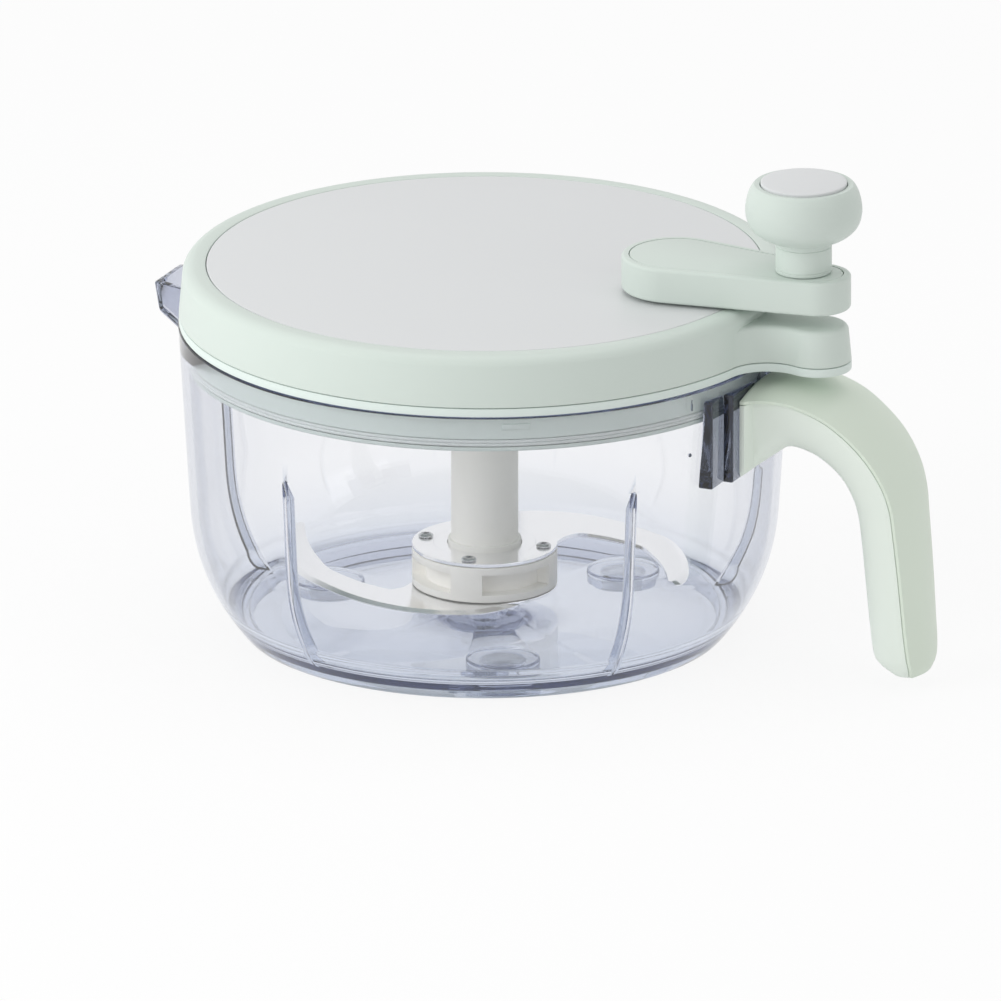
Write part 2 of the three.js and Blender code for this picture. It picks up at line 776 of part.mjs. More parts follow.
// Gear places: the output on the bowl axis, the idler beside it, the crank gear near the rim
const idler_span = (idler_teeth + output_teeth) / 2;
const crank_span = (crank_teeth + idler_teeth) / 2;
const idler_modules_x = idler_span * Math.cos(train_bend_angle);
const idler_modules_y = idler_span * Math.sin(train_bend_angle);
const crank_modules_x = idler_modules_x + Math.sqrt(crank_span ** 2 - idler_modules_y ** 2);
const train_modules = crank_modules_x + crank_teeth / 2 + addendum_share;
const gear_module = (cavity_radius - train_wall_clearance) / train_modules;
const idler_x = idler_modules_x * gear_module;
const idler_y = idler_modules_y * gear_module;
const crank_x = crank_modules_x * gear_module;
const knob_x = crank_x + crank_throw;

// Gear heights, inside the lid
const gear_bottom = strip_top + axle_boss_height + gear_hub_rise + fit_gap;
const gear_top = gear_bottom + gear_thickness;
const hub_bottom = gear_bottom - gear_hub_rise;
const hub_top = gear_top + gear_hub_rise;
const boss_top = hub_bottom - fit_gap;
const roof_boss_bottom = hub_top + fit_gap;
const axle_seat = lid_bottom + axle_floor;
const roof_seat = recess_floor - roof_floor;

// Angle that an involute has swept at a radius; inside its base circle the flank is straight
function involuteAngle(base_radius, radius) {
  const roll = Math.sqrt(Math.max(0, (radius / base_radius) ** 2 - 1));
  return roll - Math.atan(roll);
}

// Involute outline with the first tooth centred on phase
function gearShape(teeth, phase) {
  const pitch = (teeth * gear_module) / 2;
  const base = pitch * Math.cos(pressure_angle);
  const tip = pitch + addendum_share * gear_module;
  const root = pitch - dedendum_share * gear_module;
  const half_tooth = Math.PI / (teeth * 2) - (tooth_backlash_share * gear_module) / pitch;
  const pitch_roll = involuteAngle(base, pitch);
  const flank = Array.from({ length: flank_steps }, (_, i) => {
    const radius = root + (tip - root) * (i / (flank_steps - 1));
    return [radius, half_tooth + pitch_roll - involuteAngle(base, radius)];
  });
  const points = [];
  for (const centre of turns(teeth, phase)) {
    flank.forEach(([radius, half]) => points.push(onCircle(radius, centre - half)));
    [...flank].reverse().forEach(([radius, half]) => points.push(onCircle(radius, centre + half)));
  }
  return new THREE.Shape(points.map(([x, y]) => new THREE.Vector2(x, y)));
}

// Phase of a gear so that its gap faces a tooth of the gear that drives it
function meshedPhase(driver_teeth, driver_phase, teeth, direction) {
  const offset = direction - driver_phase;
  return direction + Math.PI + Math.PI / teeth + (offset * driver_teeth) / teeth;
}

const crank_phase = 0;
const to_idler = Math.atan2(idler_y, idler_x - crank_x);
const idler_phase = meshedPhase(crank_teeth, crank_phase, idler_teeth, to_idler);
const to_output = Math.atan2(-idler_y, -idler_x);
const output_phase = meshedPhase(idler_teeth, idler_phase, output_teeth, to_output);

function buildCrankGear() {
  const teeth = prism(gearShape(crank_teeth, crank_phase), gear_bottom, gear_top);
  const hub = disc(crank_gear_hub_radius, hub_bottom, hub_top, small_round_steps);
  const bore = hexBar(crank_hex_flat_radius + fit_gap, hub_bottom - cut_overrun, hub_top + cut_overrun);
  return cut(join(teeth, hub), bore).translate(crank_x, 0, 0);
}

function buildIdlerGear() {
  const teeth = prism(gearShape(idler_teeth, idler_phase), gear_bottom, gear_top);
  const hub = disc(idler_hub_radius, hub_bottom, hub_top, small_round_steps);
  const bore_radius = idler_axle_radius + fit_gap;
  const bore = disc(bore_radius, hub_bottom - cut_overrun, hub_top + cut_overrun, small_round_steps);
  return cut(join(teeth, hub), bore).translate(idler_x, idler_y, 0);
}

function buildIdlerAxle() {
  const low = axle_seat + fit_gap;
  return disc(idler_axle_radius, low, roof_seat - fit_gap, small_round_steps).translate(idler_x, idler_y, 0);
}

const output_boss_bottom = lid_bottom - output_boss_drop;
const output_bush_radius = output_journal_radius + fit_gap + bush_wall;

function buildOutputGear() {
  const teeth = prism(gearShape(output_teeth, output_phase), gear_bottom, gear_top);
  const journal = disc(output_journal_radius, output_boss_bottom, gear_bottom + fit_gap, small_round_steps);
  const pin = disc(output_pin_radius, gear_top - fit_gap, roof_seat - fit_gap, small_round_steps);
  const spigot = hexBar(spigot_flat_radius, socket_floor + fit_gap, output_boss_bottom + fit_gap);
  return join(teeth, journal, pin, spigot);
}

function buildOutputBush() {
  const bore = output_journal_radius + fit_gap;
  const flange_low = strip_top + fit_gap;
  const profile = [
    [bore, output_boss_bottom],
    [output_bush_radius, output_boss_bottom],
    [output_bush_radius, flange_low],
    [output_bush_radius + bush_flange_width, flange_low],
    [output_bush_radius + bush_flange_width, flange_low + bush_flange_height],
    [bore, flange_low + bush_flange_height],
  ];
  return revolve(profile, small_round_steps);
}

function lidScrewPlaces() {
  const radius = cavity_radius - lid_screw_circle_inset;
  return turns(lid_screw_count, Math.PI / lid_screw_count).map((angle) => onCircle(radius, angle));
}

// Collar radii at its own heights
const collar_bottom = lid_bottom - collar_depth;
const collar_radius = bowlInnerRadius(collar_bottom) - collar_clearance;
const seal_bottom = collar_bottom + seal_lift;
const seal_inner_radius = collar_radius - seal_groove_depth + fit_gap;

function buildLidBase() {
  const low = lid_bottom;
  const plate = disc(lid_radius, low, strip_top, large_round_steps);
  const lobe = prism(lobeShape(), low, strip_top);
  const cap = prism(spoutCapShape(), low, strip_top, spout_cap_steps);
  const collar_profile = [
    [collar_radius - collar_wall, collar_bottom],
    [collar_radius, collar_bottom],
    [collar_radius, seal_bottom - fit_gap],
    [collar_radius - seal_groove_depth, seal_bottom - fit_gap],
    [collar_radius - seal_groove_depth, seal_bottom + seal_height + fit_gap],
    [collar_radius, seal_bottom + seal_height + fit_gap],
    [collar_radius, low + fit_gap],
    [collar_radius - collar_wall, low + fit_gap],
  ];
  const collar = revolve(collar_profile, large_round_steps);
  const lug_top = lid_bottom - lug_drop;
  const lug_root = collar_radius - collar_wall / 2;
  const lugs = turns(lug_count, Math.PI).map((angle) => {
    const low_corner = new THREE.Vector3(lug_root, -lug_width / 2, lug_top - lug_height);
    const high_corner = new THREE.Vector3(collar_radius + lug_reach, lug_width / 2, lug_top);
    return block(low_corner, high_corner).rotateZ(angle);
  });
  const output_boss_radius = output_bush_radius + fit_gap + output_boss_wall;
  const output_boss = disc(output_boss_radius, output_boss_bottom, strip_top);
  const idler_boss = disc(axle_boss_radius, low, boss_top, small_round_steps).translate(idler_x, idler_y, 0);
  const crank_boss = disc(axle_boss_radius, low, boss_top, small_round_steps).translate(crank_x, 0, 0);
  const body = join(plate, lobe, cap, collar, ...lugs, output_boss, idler_boss, crank_boss);

  const above = boss_top + cut_overrun;
  const output_bore_low = output_boss_bottom - cut_overrun;
  const output_bore = disc(output_bush_radius + fit_gap, output_bore_low, above, small_round_steps);
  const idler_bore = disc(idler_axle_radius + fit_gap, axle_seat, above, small_round_steps);
  const crank_bore = disc(crank_lower_journal_radius + fit_gap, axle_seat, above, small_round_steps);
  const head_room = low + lid_screw_head_height + fit_gap;
  const screw_cuts = lidScrewPlaces().flatMap(([x, y]) => {
    const shank = disc(lid_screw_radius + fit_gap, low - cut_overrun, above, fastener_steps);
    const head = disc(lid_screw_head_radius + fit_gap, low - cut_overrun, head_room, fastener_steps);
    return [shank.translate(x, y, 0), head.translate(x, y, 0)];
  });
  idler_bore.translate(idler_x, idler_y, 0);
  crank_bore.translate(crank_x, 0, 0);
  return cut(body, output_bore, idler_bore, crank_bore, ...screw_cuts);
}

function buildSeal() {
  const outer = bowlInnerRadius(seal_bottom) - fit_gap;
  const profile = [
    [seal_inner_radius, seal_bottom],
    [outer, seal_bottom + seal_height * seal_lip_share],
    [outer, seal_bottom + seal_height * (1 - seal_lip_share)],
    [seal_inner_radius, seal_bottom + seal_height],
  ];
  return revolve(profile, large_round_steps);
}

const crank_bush_radius = crank_upper_journal_radius + fit_gap + bush_wall;

function buildLidShell() {
  const side_top = lid_top - lid_shoulder_height;
  const side_radius = lid_radius - lid_side_taper;
  const profile = [[0, shell_bottom], [lid_radius, shell_bottom], [side_radius, side_top]];
  for (let i = 1; i <= lid_shoulder_steps; i++) {
    const angle = (i / lid_shoulder_steps) * (Math.PI / 2);
    const radius = side_radius - lid_shoulder_width * (1 - Math.cos(angle));
    profile.push([radius, side_top + lid_shoulder_height * Math.sin(angle)]);
  }
  profile.push([0, lid_top]);
  const round = revolve(profile, large_round_steps);
  const lobe_top = lid_top - lobe_top_drop;
  const lobe = softPrism(lobeShape(), shell_bottom - lobe_bevel, lobe_top, lobe_bevel);
  const cap_top = lid_top - spout_cap_drop;
  const cap = softPrism(spoutCapShape(), shell_bottom - lobe_bevel, cap_top, lobe_bevel, spout_cap_steps);
  const below_radius = lobe_centre_x + lobe_radius + lobe_fillet_radius;
  const below = disc(below_radius, shell_bottom - lobe_bevel - cut_overrun, shell_bottom);
  const cavity = disc(cavity_radius, shell_bottom - cut_overrun, cavity_roof, large_round_steps);
  const recess = disc(plateRadius() + fit_gap, recess_floor, lid_top + cut_overrun, large_round_steps);
  const body = cut(join(round, lobe, cap), below, cavity, recess);

  const roof_middle = cavity_roof + lid_roof / 2;
  const output_roof_boss = disc(axle_boss_radius, roof_boss_bottom, roof_middle, small_round_steps);
  const idler_roof_boss = output_roof_boss.clone().translate(idler_x, idler_y, 0);
  const screw_bosses = lidScrewPlaces().map(([x, y]) => {
    return disc(lid_screw_boss_radius, shell_bottom, roof_middle, fastener_steps).translate(x, y, 0);
  });
  const below_bosses = roof_boss_bottom - cut_overrun;
  const pin_seat = disc(output_pin_radius + fit_gap, below_bosses, roof_seat, small_round_steps);
  const axle_hole = disc(idler_axle_radius + fit_gap, below_bosses, roof_seat, small_round_steps);
  axle_hole.translate(idler_x, idler_y, 0);
  const bush_hole = disc(crank_bush_radius + fit_gap, cavity_roof - cut_overrun, lid_top, small_round_steps);
  bush_hole.translate(crank_x, 0, 0);
  const screw_top = lid_bottom + lid_screw_head_height + lid_screw_length + fit_gap;
  const screw_holes = lidScrewPlaces().map(([x, y]) => {
    const radius = lid_screw_radius + fit_gap;
    return disc(radius, shell_bottom - cut_overrun, screw_top, fastener_steps).translate(x, y, 0);
  });
  const with_bosses = join(body, output_roof_boss, idler_roof_boss, ...screw_bosses);
  return cut(with_bosses, pin_seat, axle_hole, bush_hole, ...screw_holes);
}

function plateRadius() {
  return lid_radius - lid_side_taper - lid_shoulder_width - lid_rim_width;
}

function buildTopPlate() {
  const low = recess_floor + fit_gap;
  const radius = plateRadius();
  const profile = [
    [0, low],
    [radius, low],
    [radius, lid_top - plate_edge],
    [radius - plate_edge, lid_top],
    [0, lid_top],
  ];
  const hole = disc(crank_bush_radius + fit_gap, low - cut_overrun, lid_top + cut_overrun, small_round_steps);
  return cut(revolve(profile, large_round_steps), hole.translate(crank_x, 0, 0));
}

function buildLidScrew([x, y]) {
  const head_low = lid_bottom + fit_gap / 2;
  const head_top = head_low + lid_screw_head_height;
  const profile = [
    [0, head_low],
    [lid_screw_head_radius, head_low],
    [lid_screw_head_radius, head_top],
    [lid_screw_radius, head_top],
    [lid_screw_radius, head_top + lid_screw_length - fit_gap],
    [0, head_top + lid_screw_length - fit_gap],
  ];
  return revolve(profile, fastener_steps).translate(x, y, 0);
}

// Crank heights
const arm_bottom = lid_top + crank_arm_lift;
const arm_top = arm_bottom + crank_arm_height;
const inlay_floor = arm_top - crank_inlay_thickness - fit_gap;
const screw_pocket_floor = inlay_floor - crank_screw_head_height - fit_gap;
const arm_socket_top = screw_pocket_floor - crank_web;

function buildCrankBush() {
  const bore = crank_upper_journal_radius + fit_gap;
  const flange_top = cavity_roof - fit_gap;
  const profile = [
    [bore, flange_top - bush_flange_height],
    [crank_bush_radius + bush_flange_width, flange_top - bush_flange_height],
    [crank_bush_radius + bush_flange_width, flange_top],
    [crank_bush_radius, flange_top],
    [crank_bush_radius, lid_top],
    [bore, lid_top],
  ];
  return revolve(profile, small_round_steps).translate(crank_x, 0, 0);
}

function buildCrankShaft() {
  const shaft_top = arm_socket_top - fit_gap;
  const lower = disc(crank_lower_journal_radius, axle_seat + fit_gap, hub_bottom, small_round_steps);
  const gear_hex = hexBar(crank_hex_flat_radius, boss_top + fit_gap, hub_top + fit_gap);
  const upper = disc(crank_upper_journal_radius, hub_top + fit_gap, arm_bottom - fit_gap, small_round_steps);
  const arm_hex = hexBar(crank_hex_flat_radius, lid_top, shaft_top);
  const bore_low = screw_pocket_floor - crank_screw_length - fit_gap;
  const bore = disc(crank_screw_radius + fit_gap, bore_low, shaft_top + cut_overrun, fastener_steps);
  return cut(join(lower, gear_hex, upper, arm_hex), bore).translate(crank_x, 0, 0);
}

// Arm outline: two circles joined by their tangents, drawn in by inset
function armShape(inset) {
  const big = crank_pivot_radius - inset;
  const small = crank_end_radius - inset;
  const end_x = crank_throw + crank_end_overhang;
  const turn = Math.acos((crank_pivot_radius - crank_end_radius) / end_x);
  const shape = new THREE.Shape();
  shape.absarc(0, 0, big, turn, Math.PI * 2 - turn, false);
  shape.absarc(end_x, 0, small, -turn, turn, false);
  return shape;
}

function buildCrankArm() {
  const body = softPrism(armShape(0), arm_bottom, arm_top, crank_arm_bevel);
  const recess = prism(armShape(crank_inlay_inset), inlay_floor, arm_top + cut_overrun);
  const socket = hexBar(crank_hex_flat_radius + fit_gap, arm_bottom - cut_overrun, arm_socket_top);
  const screw_hole = disc(crank_screw_radius + fit_gap, arm_bottom, inlay_floor, fastener_steps);
  const pocket_radius = crank_screw_head_radius + fit_gap;
  const pocket = disc(pocket_radius, screw_pocket_floor, inlay_floor + cut_overrun, small_round_steps);
  const seat_low = arm_top - spindle_seat_depth;
  const spindle_hole = disc(spindle_radius + fit_gap, seat_low, arm_top, small_round_steps);
  spindle_hole.translate(crank_throw, 0, 0);
  return cut(body, recess, socket, screw_hole, pocket, spindle_hole).translate(crank_x, 0, 0);
}

function buildCrankInlay() {
  const body = prism(armShape(crank_inlay_inset + fit_gap), inlay_floor + fit_gap, arm_top);
  const hole = disc(spindle_radius + fit_gap, inlay_floor, arm_top + cut_overrun, small_round_steps);
  return cut(body, hole.translate(crank_throw, 0, 0)).translate(crank_x, 0, 0);
}

function buildCrankScrew() {
  const head_low = screw_pocket_floor + fit_gap / 2;
  const profile = [
    [0, screw_pocket_floor - crank_screw_length],
    [crank_screw_radius, screw_pocket_floor - crank_screw_length],
    [crank_screw_radius, head_low],
    [crank_screw_head_radius, head_low],
    [crank_screw_head_radius, head_low + crank_screw_head_height],
    [0, head_low + crank_screw_head_height],
  ];
  return revolve(profile, small_round_steps).translate(crank_x, 0, 0);
}

// Knob heights
const stem_bottom = arm_top + fit_gap;
const stem_top = stem_bottom + stem_height;
const knob_bottom = stem_top + fit_gap;
const knob_top = knob_bottom + knob_height;
const cap_floor = knob_top - knob_cap_thickness / 2 - fit_gap;
const web_top = knob_bottom + knob_web_lift + knob_web;

function buildKnobStem() {
  const bore = spindle_radius + fit_gap;
  const profile = [
    [bore, stem_bottom],
    [stem_radius, stem_bottom],
    [stem_radius, stem_top - stem_flare],
    [stem_radius + stem_flare, stem_top],
    [bore, stem_top],
  ];
  return revolve(profile).translate(knob_x, 0, 0);
}

function buildKnobSpindle() {
  const head_low = web_top + fit_gap;
  const low = arm_top - spindle_seat_depth + fit_gap;
  const profile = [
    [0, low],
    [spindle_radius, low],
    [spindle_radius, head_low],
    [spindle_head_radius, head_low],
    [spindle_head_radius, head_low + spindle_head_height],
    [0, head_low + spindle_head_height],
  ];
  return revolve(profile, small_round_steps).translate(knob_x, 0, 0);
}

function buildKnobBody() {
  const swell = knob_radius - knob_neck_radius;
  const outside = knob_profile_shares.map(([radius_share, height_share]) => [
    knob_neck_radius + swell * radius_share,
    knob_bottom + knob_height * height_share,
  ]);
  const recess_radius = knob_cap_radius + fit_gap;
  const head_space = spindle_head_radius + fit_gap;
  const bore = spindle_radius + fit_gap;
  const profile = [
    [bore, knob_bottom],
    ...outside,
    [recess_radius, knob_top],
    [recess_radius, cap_floor],
    [head_space, cap_floor],
    [head_space, web_top],
    [bore, web_top],
  ];
  return revolve(profile).translate(knob_x, 0, 0);
}

function buildKnobCap() {
  const low = cap_floor + fit_gap;
  const profile = [[0, low], [knob_cap_radius, low]];
  const edge = low + knob_cap_thickness - knob_cap_dome;
  for (let i = 0; i <= knob_cap_steps; i++) {
    const share = i / knob_cap_steps;
    profile.push([knob_cap_radius * (1 - share), edge + knob_cap_dome * Math.sqrt(share)]);
  }
  return revolve(profile).translate(knob_x, 0, 0);
}

// Bowl and what is fixed to it
addPiece('bowl', buildBowl(), clear_plastic);
turns(foot_count, Math.PI).forEach((angle, i) => {
  addPiece(`foot_pad_${i + 1}`, buildFootPad(angle), silicone);
});
addPiece('centre_pin', buildCentrePin(), steel);
addPiece('handle_grip', buildHandleGrip(), mint_plastic);
addPiece('handle_cover', buildHandleCover(), mint_plastic);

// Blade assembly on the pin
addPiece('blade_hub', buildBladeHub(), cream_plastic);
addPiece('upper_blade', buildBlade(upper_blade_bottom, 0, 0), steel);
addPiece('lower_blade', buildBlade(lower_blade_bottom, lower_blade_rise, Math.PI), steel);
rivetPlaces().forEach((place, i) => addPiece(`blade_rivet_${i + 1}`, buildRivet(place), steel));

// Lid
addPiece('lid_base', buildLidBase(), mint_plastic);
addPiece('lid_shell', buildLidShell(), mint_plastic);
addPiece('top_plate', buildTopPlate(), pale_plate);
addPiece('lid_seal', buildSeal(), silicone);
lidScrewPlaces().forEach((place, i) => addPiece(`lid_screw_${i + 1}`, buildLidScrew(place), steel));

// Gear train
addPiece('idler_axle', buildIdlerAxle(), steel);
addPiece('output_bush', buildOutputBush(), bronze);
addPiece('crank_bush', buildCrankBush(), bronze);
addPiece('crank_gear', buildCrankGear(), white_acetal);
addPiece('idler_gear', buildIdlerGear(), white_acetal);
addPiece('output_gear', buildOutputGear(), white_acetal);

// Crank and knob
addPiece('crank_shaft', buildCrankShaft(), steel);
addPiece('crank_arm', buildCrankArm(), mint_plastic);
addPiece('crank_inlay', buildCrankInlay(), mint_plastic);
addPiece('crank_screw', buildCrankScrew(), steel);
addPiece('knob_stem', buildKnobStem(), mint_plastic);
addPiece('knob_spindle', buildKnobSpindle(), steel);
addPiece('knob_body', buildKnobBody(), mint_plastic);
addPiece('knob_cap', buildKnobCap(), pale_plate);

export default group;
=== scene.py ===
"""Looks of a crank food chopper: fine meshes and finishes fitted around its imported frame.

Sizes are in millimetres in the code and become metres where a mesh is made. The frame's +Z is up,
+X points to the handle and -X to the spout.
"""

import logging
import math
from dataclasses import dataclass
from enum import Enum
from functools import cached_property
from typing import Sequence

import bmesh
import bpy
from mathutils import Matrix, Vector


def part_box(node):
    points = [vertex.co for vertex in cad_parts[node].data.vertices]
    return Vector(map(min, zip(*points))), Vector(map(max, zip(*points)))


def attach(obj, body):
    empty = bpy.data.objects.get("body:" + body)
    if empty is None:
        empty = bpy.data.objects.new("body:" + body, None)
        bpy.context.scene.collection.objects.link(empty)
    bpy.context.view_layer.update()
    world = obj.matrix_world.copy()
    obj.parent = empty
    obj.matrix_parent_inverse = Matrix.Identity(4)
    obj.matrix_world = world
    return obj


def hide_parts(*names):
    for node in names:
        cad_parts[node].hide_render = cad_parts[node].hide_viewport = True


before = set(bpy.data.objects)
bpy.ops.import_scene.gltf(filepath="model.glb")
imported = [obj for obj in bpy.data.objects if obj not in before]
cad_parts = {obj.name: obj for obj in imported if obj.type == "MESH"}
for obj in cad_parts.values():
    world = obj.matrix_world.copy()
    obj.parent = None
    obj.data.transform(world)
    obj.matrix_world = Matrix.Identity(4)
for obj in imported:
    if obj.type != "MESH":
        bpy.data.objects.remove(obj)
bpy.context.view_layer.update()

log = logging.getLogger("chopper")

Piece = bpy.types.Object
Socket = bpy.types.NodeSocket
Tree = bpy.types.NodeTree
Outline = list[tuple[float, float]]
Ring = list[Vector]

MM = 0.001
FIT_GAP = 0.3
OVERRUN = 1.5
FINE_STEPS = 192
MEDIUM_STEPS = 96
SMALL_STEPS = 48
BAR_STEPS = 32
HEX_SIDES = 6
# Chords of a small round, by how much of it shows
FEW, SOME, MORE = 3, 4, 5
RIGHT_ANGLE = 90.0
MATRIX_SIZE = 4
SHARP_ANGLE = math.radians(32)
CREASE_DEGREES = 50.0
NARROWEST_MITRE = 0.5
# Share of its range that a noise texture mostly stays in
NOISE_LOW, NOISE_HIGH = 0.3, 0.7
# Finer layers of the noise of a grain and of a ripple
GRAIN_DETAIL, RIPPLE_DETAIL = 2.0, 1.0
# Sockets of a Mix node that hold its two colours and its result
UNDER, OVER, MIXED = 6, 7, 2
WHITE = "FFFFFF"
# Angle of the spout's side, where rings of feet, ribs and lugs start
SPOUT_ANGLE = 180.0


class Operation(Enum):
    """How one closed mesh changes another."""

    UNION = "UNION"
    DIFFERENCE = "DIFFERENCE"


class Body(Enum):
    """Rigid bodies that carry rebuilt pieces."""

    BASE = "base"
    LID = "lid"
    CRANK = "crank"
    BLADES = "blades"
    KNOB = "knob"


def linear(hex_colour: str) -> tuple[float, float, float, float]:
    """Turn an sRGB hex colour into Blender's linear RGBA.

    Args:
        hex_colour: Six hex digits, such as "C9DCCB".

    Returns:
        Linear red, green, blue and an alpha of 1.
    """
    channels = [int(hex_colour[i : i + 2], 16) / 255 for i in (0, 2, 4)]
    curve = [c / 12.92 if c <= 0.04045 else ((c + 0.055) / 1.055) ** 2.4 for c in channels]
    return (*curve, 1.0)


def add_node(
    tree: Tree, kind: str, settings: dict | None = None, links: dict | None = None
) -> bpy.types.Node:
    """Add a node with its settings and links.

    Args:
        tree: Node tree that gets the node.
        kind: Blender's node type name.
        settings: Values by input name, input index or property name.
        links: Output sockets by input name or index.

    Returns:
        The new node.
    """
    node = tree.nodes.new(kind)
    for key, value in (settings or {}).items():
        if isinstance(key, int) or key in node.inputs:
            node.inputs[key].default_value = value
        else:
            setattr(node, key, value)
    for key, socket in (links or {}).items():
        tree.links.new(socket, node.inputs[key])
    return node


def grained(
    tree: Tree, place: Socket, size_mm: float, detail: float, strength: float, depth_mm: float
) -> Socket:
    """Normal of a face with a soft grain.

    Args:
        tree: Node tree that gets the nodes.
        place: Object coordinates.
        size_mm: Size of its patches.
        detail: Blender's number of finer layers.
        strength: Strength of the relief.
        depth_mm: Depth of the relief.

    Returns:
        Socket with the normal.
    """
    settings = {"Scale": 1 / (size_mm * MM), "Detail": detail}
    grain = add_node(tree, "ShaderNodeTexNoise", settings, {"Vector": place}).outputs["Fac"]
    relief = {"Strength": strength, "Distance": depth_mm * MM}
    return add_node(tree, "ShaderNodeBump", relief, {"Height": grain}).outputs["Normal"]


def seen_directly(tree: Tree) -> Socket:
    """Factor that is 1 for rays that show the backdrop to the camera, also through or in a piece.

    Args:
        tree: Node tree that gets the nodes.

    Returns:
        Socket with 1 for camera, glossy and transmission rays.
    """
    path = add_node(tree, "ShaderNodeLightPath").outputs
    shown = path["Is Camera Ray"]
    for name in ("Is Glossy Ray", "Is Transmission Ray"):
        either = add_node(tree, "ShaderNodeMath", {"operation": "MAXIMUM"}, {0: shown, 1: path[name]})
        shown = either.outputs[0]
    return shown


@dataclass(frozen=True)
class Finish:
    """Finish of some pieces, named for the real material; each kind has its own nodes."""

    name: str

    def nodes(self, tree: Tree, place: Socket) -> dict[str, Socket]:
        """Add the finish's nodes and return the sockets for the material output, by input name."""
        raise NotImplementedError

    @cached_property
    def material(self) -> bpy.types.Material:
        """Node material, made once when it is first asked for."""
        material = bpy.data.materials.new(self.name)
        material.use_nodes = True
        tree = material.node_tree
        tree.nodes.clear()
        place = add_node(tree, "ShaderNodeTexCoord").outputs["Object"]
        add_node(tree, "ShaderNodeOutputMaterial", {}, self.nodes(tree, place))
        return material


@dataclass(frozen=True)
class MouldedPlastic(Finish):
    """Plastic or rubber from a polished or lightly textured mould, opaque unless it has some clearness.

    The grain is the fine orange peel of the mould, and the mottle a very slight drift of colour.
    """

    colour: str
    drift_colour: str
    roughness: float
    ior: float = 1.53
    grain_mm: float = 0.9
    grain_depth_mm: float = 0.012
    grain_strength: float = 0.35
    mottle_mm: float = 35.0
    mottle_detail: float = 3.0
    mottle_rough: float = 0.6
    roughness_swing: float = 0.04
    glow: float = 0.0
    glow_reach_mm: float = 2.0
    clearness: float = 0.0

    def nodes(self, tree: Tree, place: Socket) -> dict[str, Socket]:
        """Add the plastic's nodes.

        Args:
            tree: Node tree of the material.
            place: Object coordinates.

        Returns:
            Socket of the surface.
        """
        scale, rough = 1 / (self.mottle_mm * MM), self.mottle_rough
        drift = {"Scale": scale, "Detail": self.mottle_detail, "Roughness": rough}
        mottle = add_node(tree, "ShaderNodeTexNoise", drift, {"Vector": place}).outputs["Fac"]
        colours = {"data_type": "RGBA", UNDER: linear(self.colour), OVER: linear(self.drift_colour)}
        low, high = self.roughness - self.roughness_swing, self.roughness + self.roughness_swing
        strength, depth = self.grain_strength, self.grain_depth_mm
        span = {"From Min": NOISE_LOW, "From Max": NOISE_HIGH, "To Min": low, "To Max": high}
        links = {
            "Base Color": add_node(tree, "ShaderNodeMix", colours, {0: mottle}).outputs[MIXED],
            "Roughness": add_node(tree, "ShaderNodeMapRange", span, {"Value": mottle}).outputs["Result"],
            "Normal": grained(tree, place, self.grain_mm, GRAIN_DETAIL, strength, depth),
        }
        settings = {
            "IOR": self.ior,
            "Subsurface Weight": self.glow,
            "Subsurface Radius": [self.glow_reach_mm * MM] * 3,
            "Transmission Weight": self.clearness,
        }
        return {"Surface": add_node(tree, "ShaderNodeBsdfPrincipled", settings, links).outputs["BSDF"]}


@dataclass(frozen=True)
class BowlWall:
    """Round wall of the bowl, which the lid's collar and seal follow too."""

    rim_radius: float = 106.6
    height: float = 109.5
    thickness: float = 2.6
    draft: float = 3.5
    curve_height: float = 45.0
    curve_inset: float = 15.0
    curve_power: float = 2.35
    straight_steps: int = 8

    def outer(self, z: float) -> float:
        """Outer radius at a height.

        Args:
            z: Height above the foot ring.

        Returns:
            The radius.
        """
        straight = self.rim_radius - (self.height - z) * math.tan(math.radians(self.draft))
        if z >= self.curve_height:
            return straight
        return straight - self.curve_inset * ((self.curve_height - z) / self.curve_height) ** self.curve_power

    def inner(self, z: float) -> float:
        """Inner radius at a height, given in millimetres above the foot ring."""
        return self.outer(z) - self.thickness

    def heights(self, low: float, high: float, curve_steps: int) -> list[float]:
        """Heights at which the wall gets a row of points.

        Args:
            low: First height.
            high: Last height.
            curve_steps: Rows on the curved foot.

        Returns:
            Rising heights from low to high.
        """
        bend, steps = self.curve_height, self.straight_steps
        curved = [low + (bend - low) * i / curve_steps for i in range(curve_steps)]
        straight = [bend + (high - bend) * i / steps for i in range(steps + 1)]
        return curved + straight


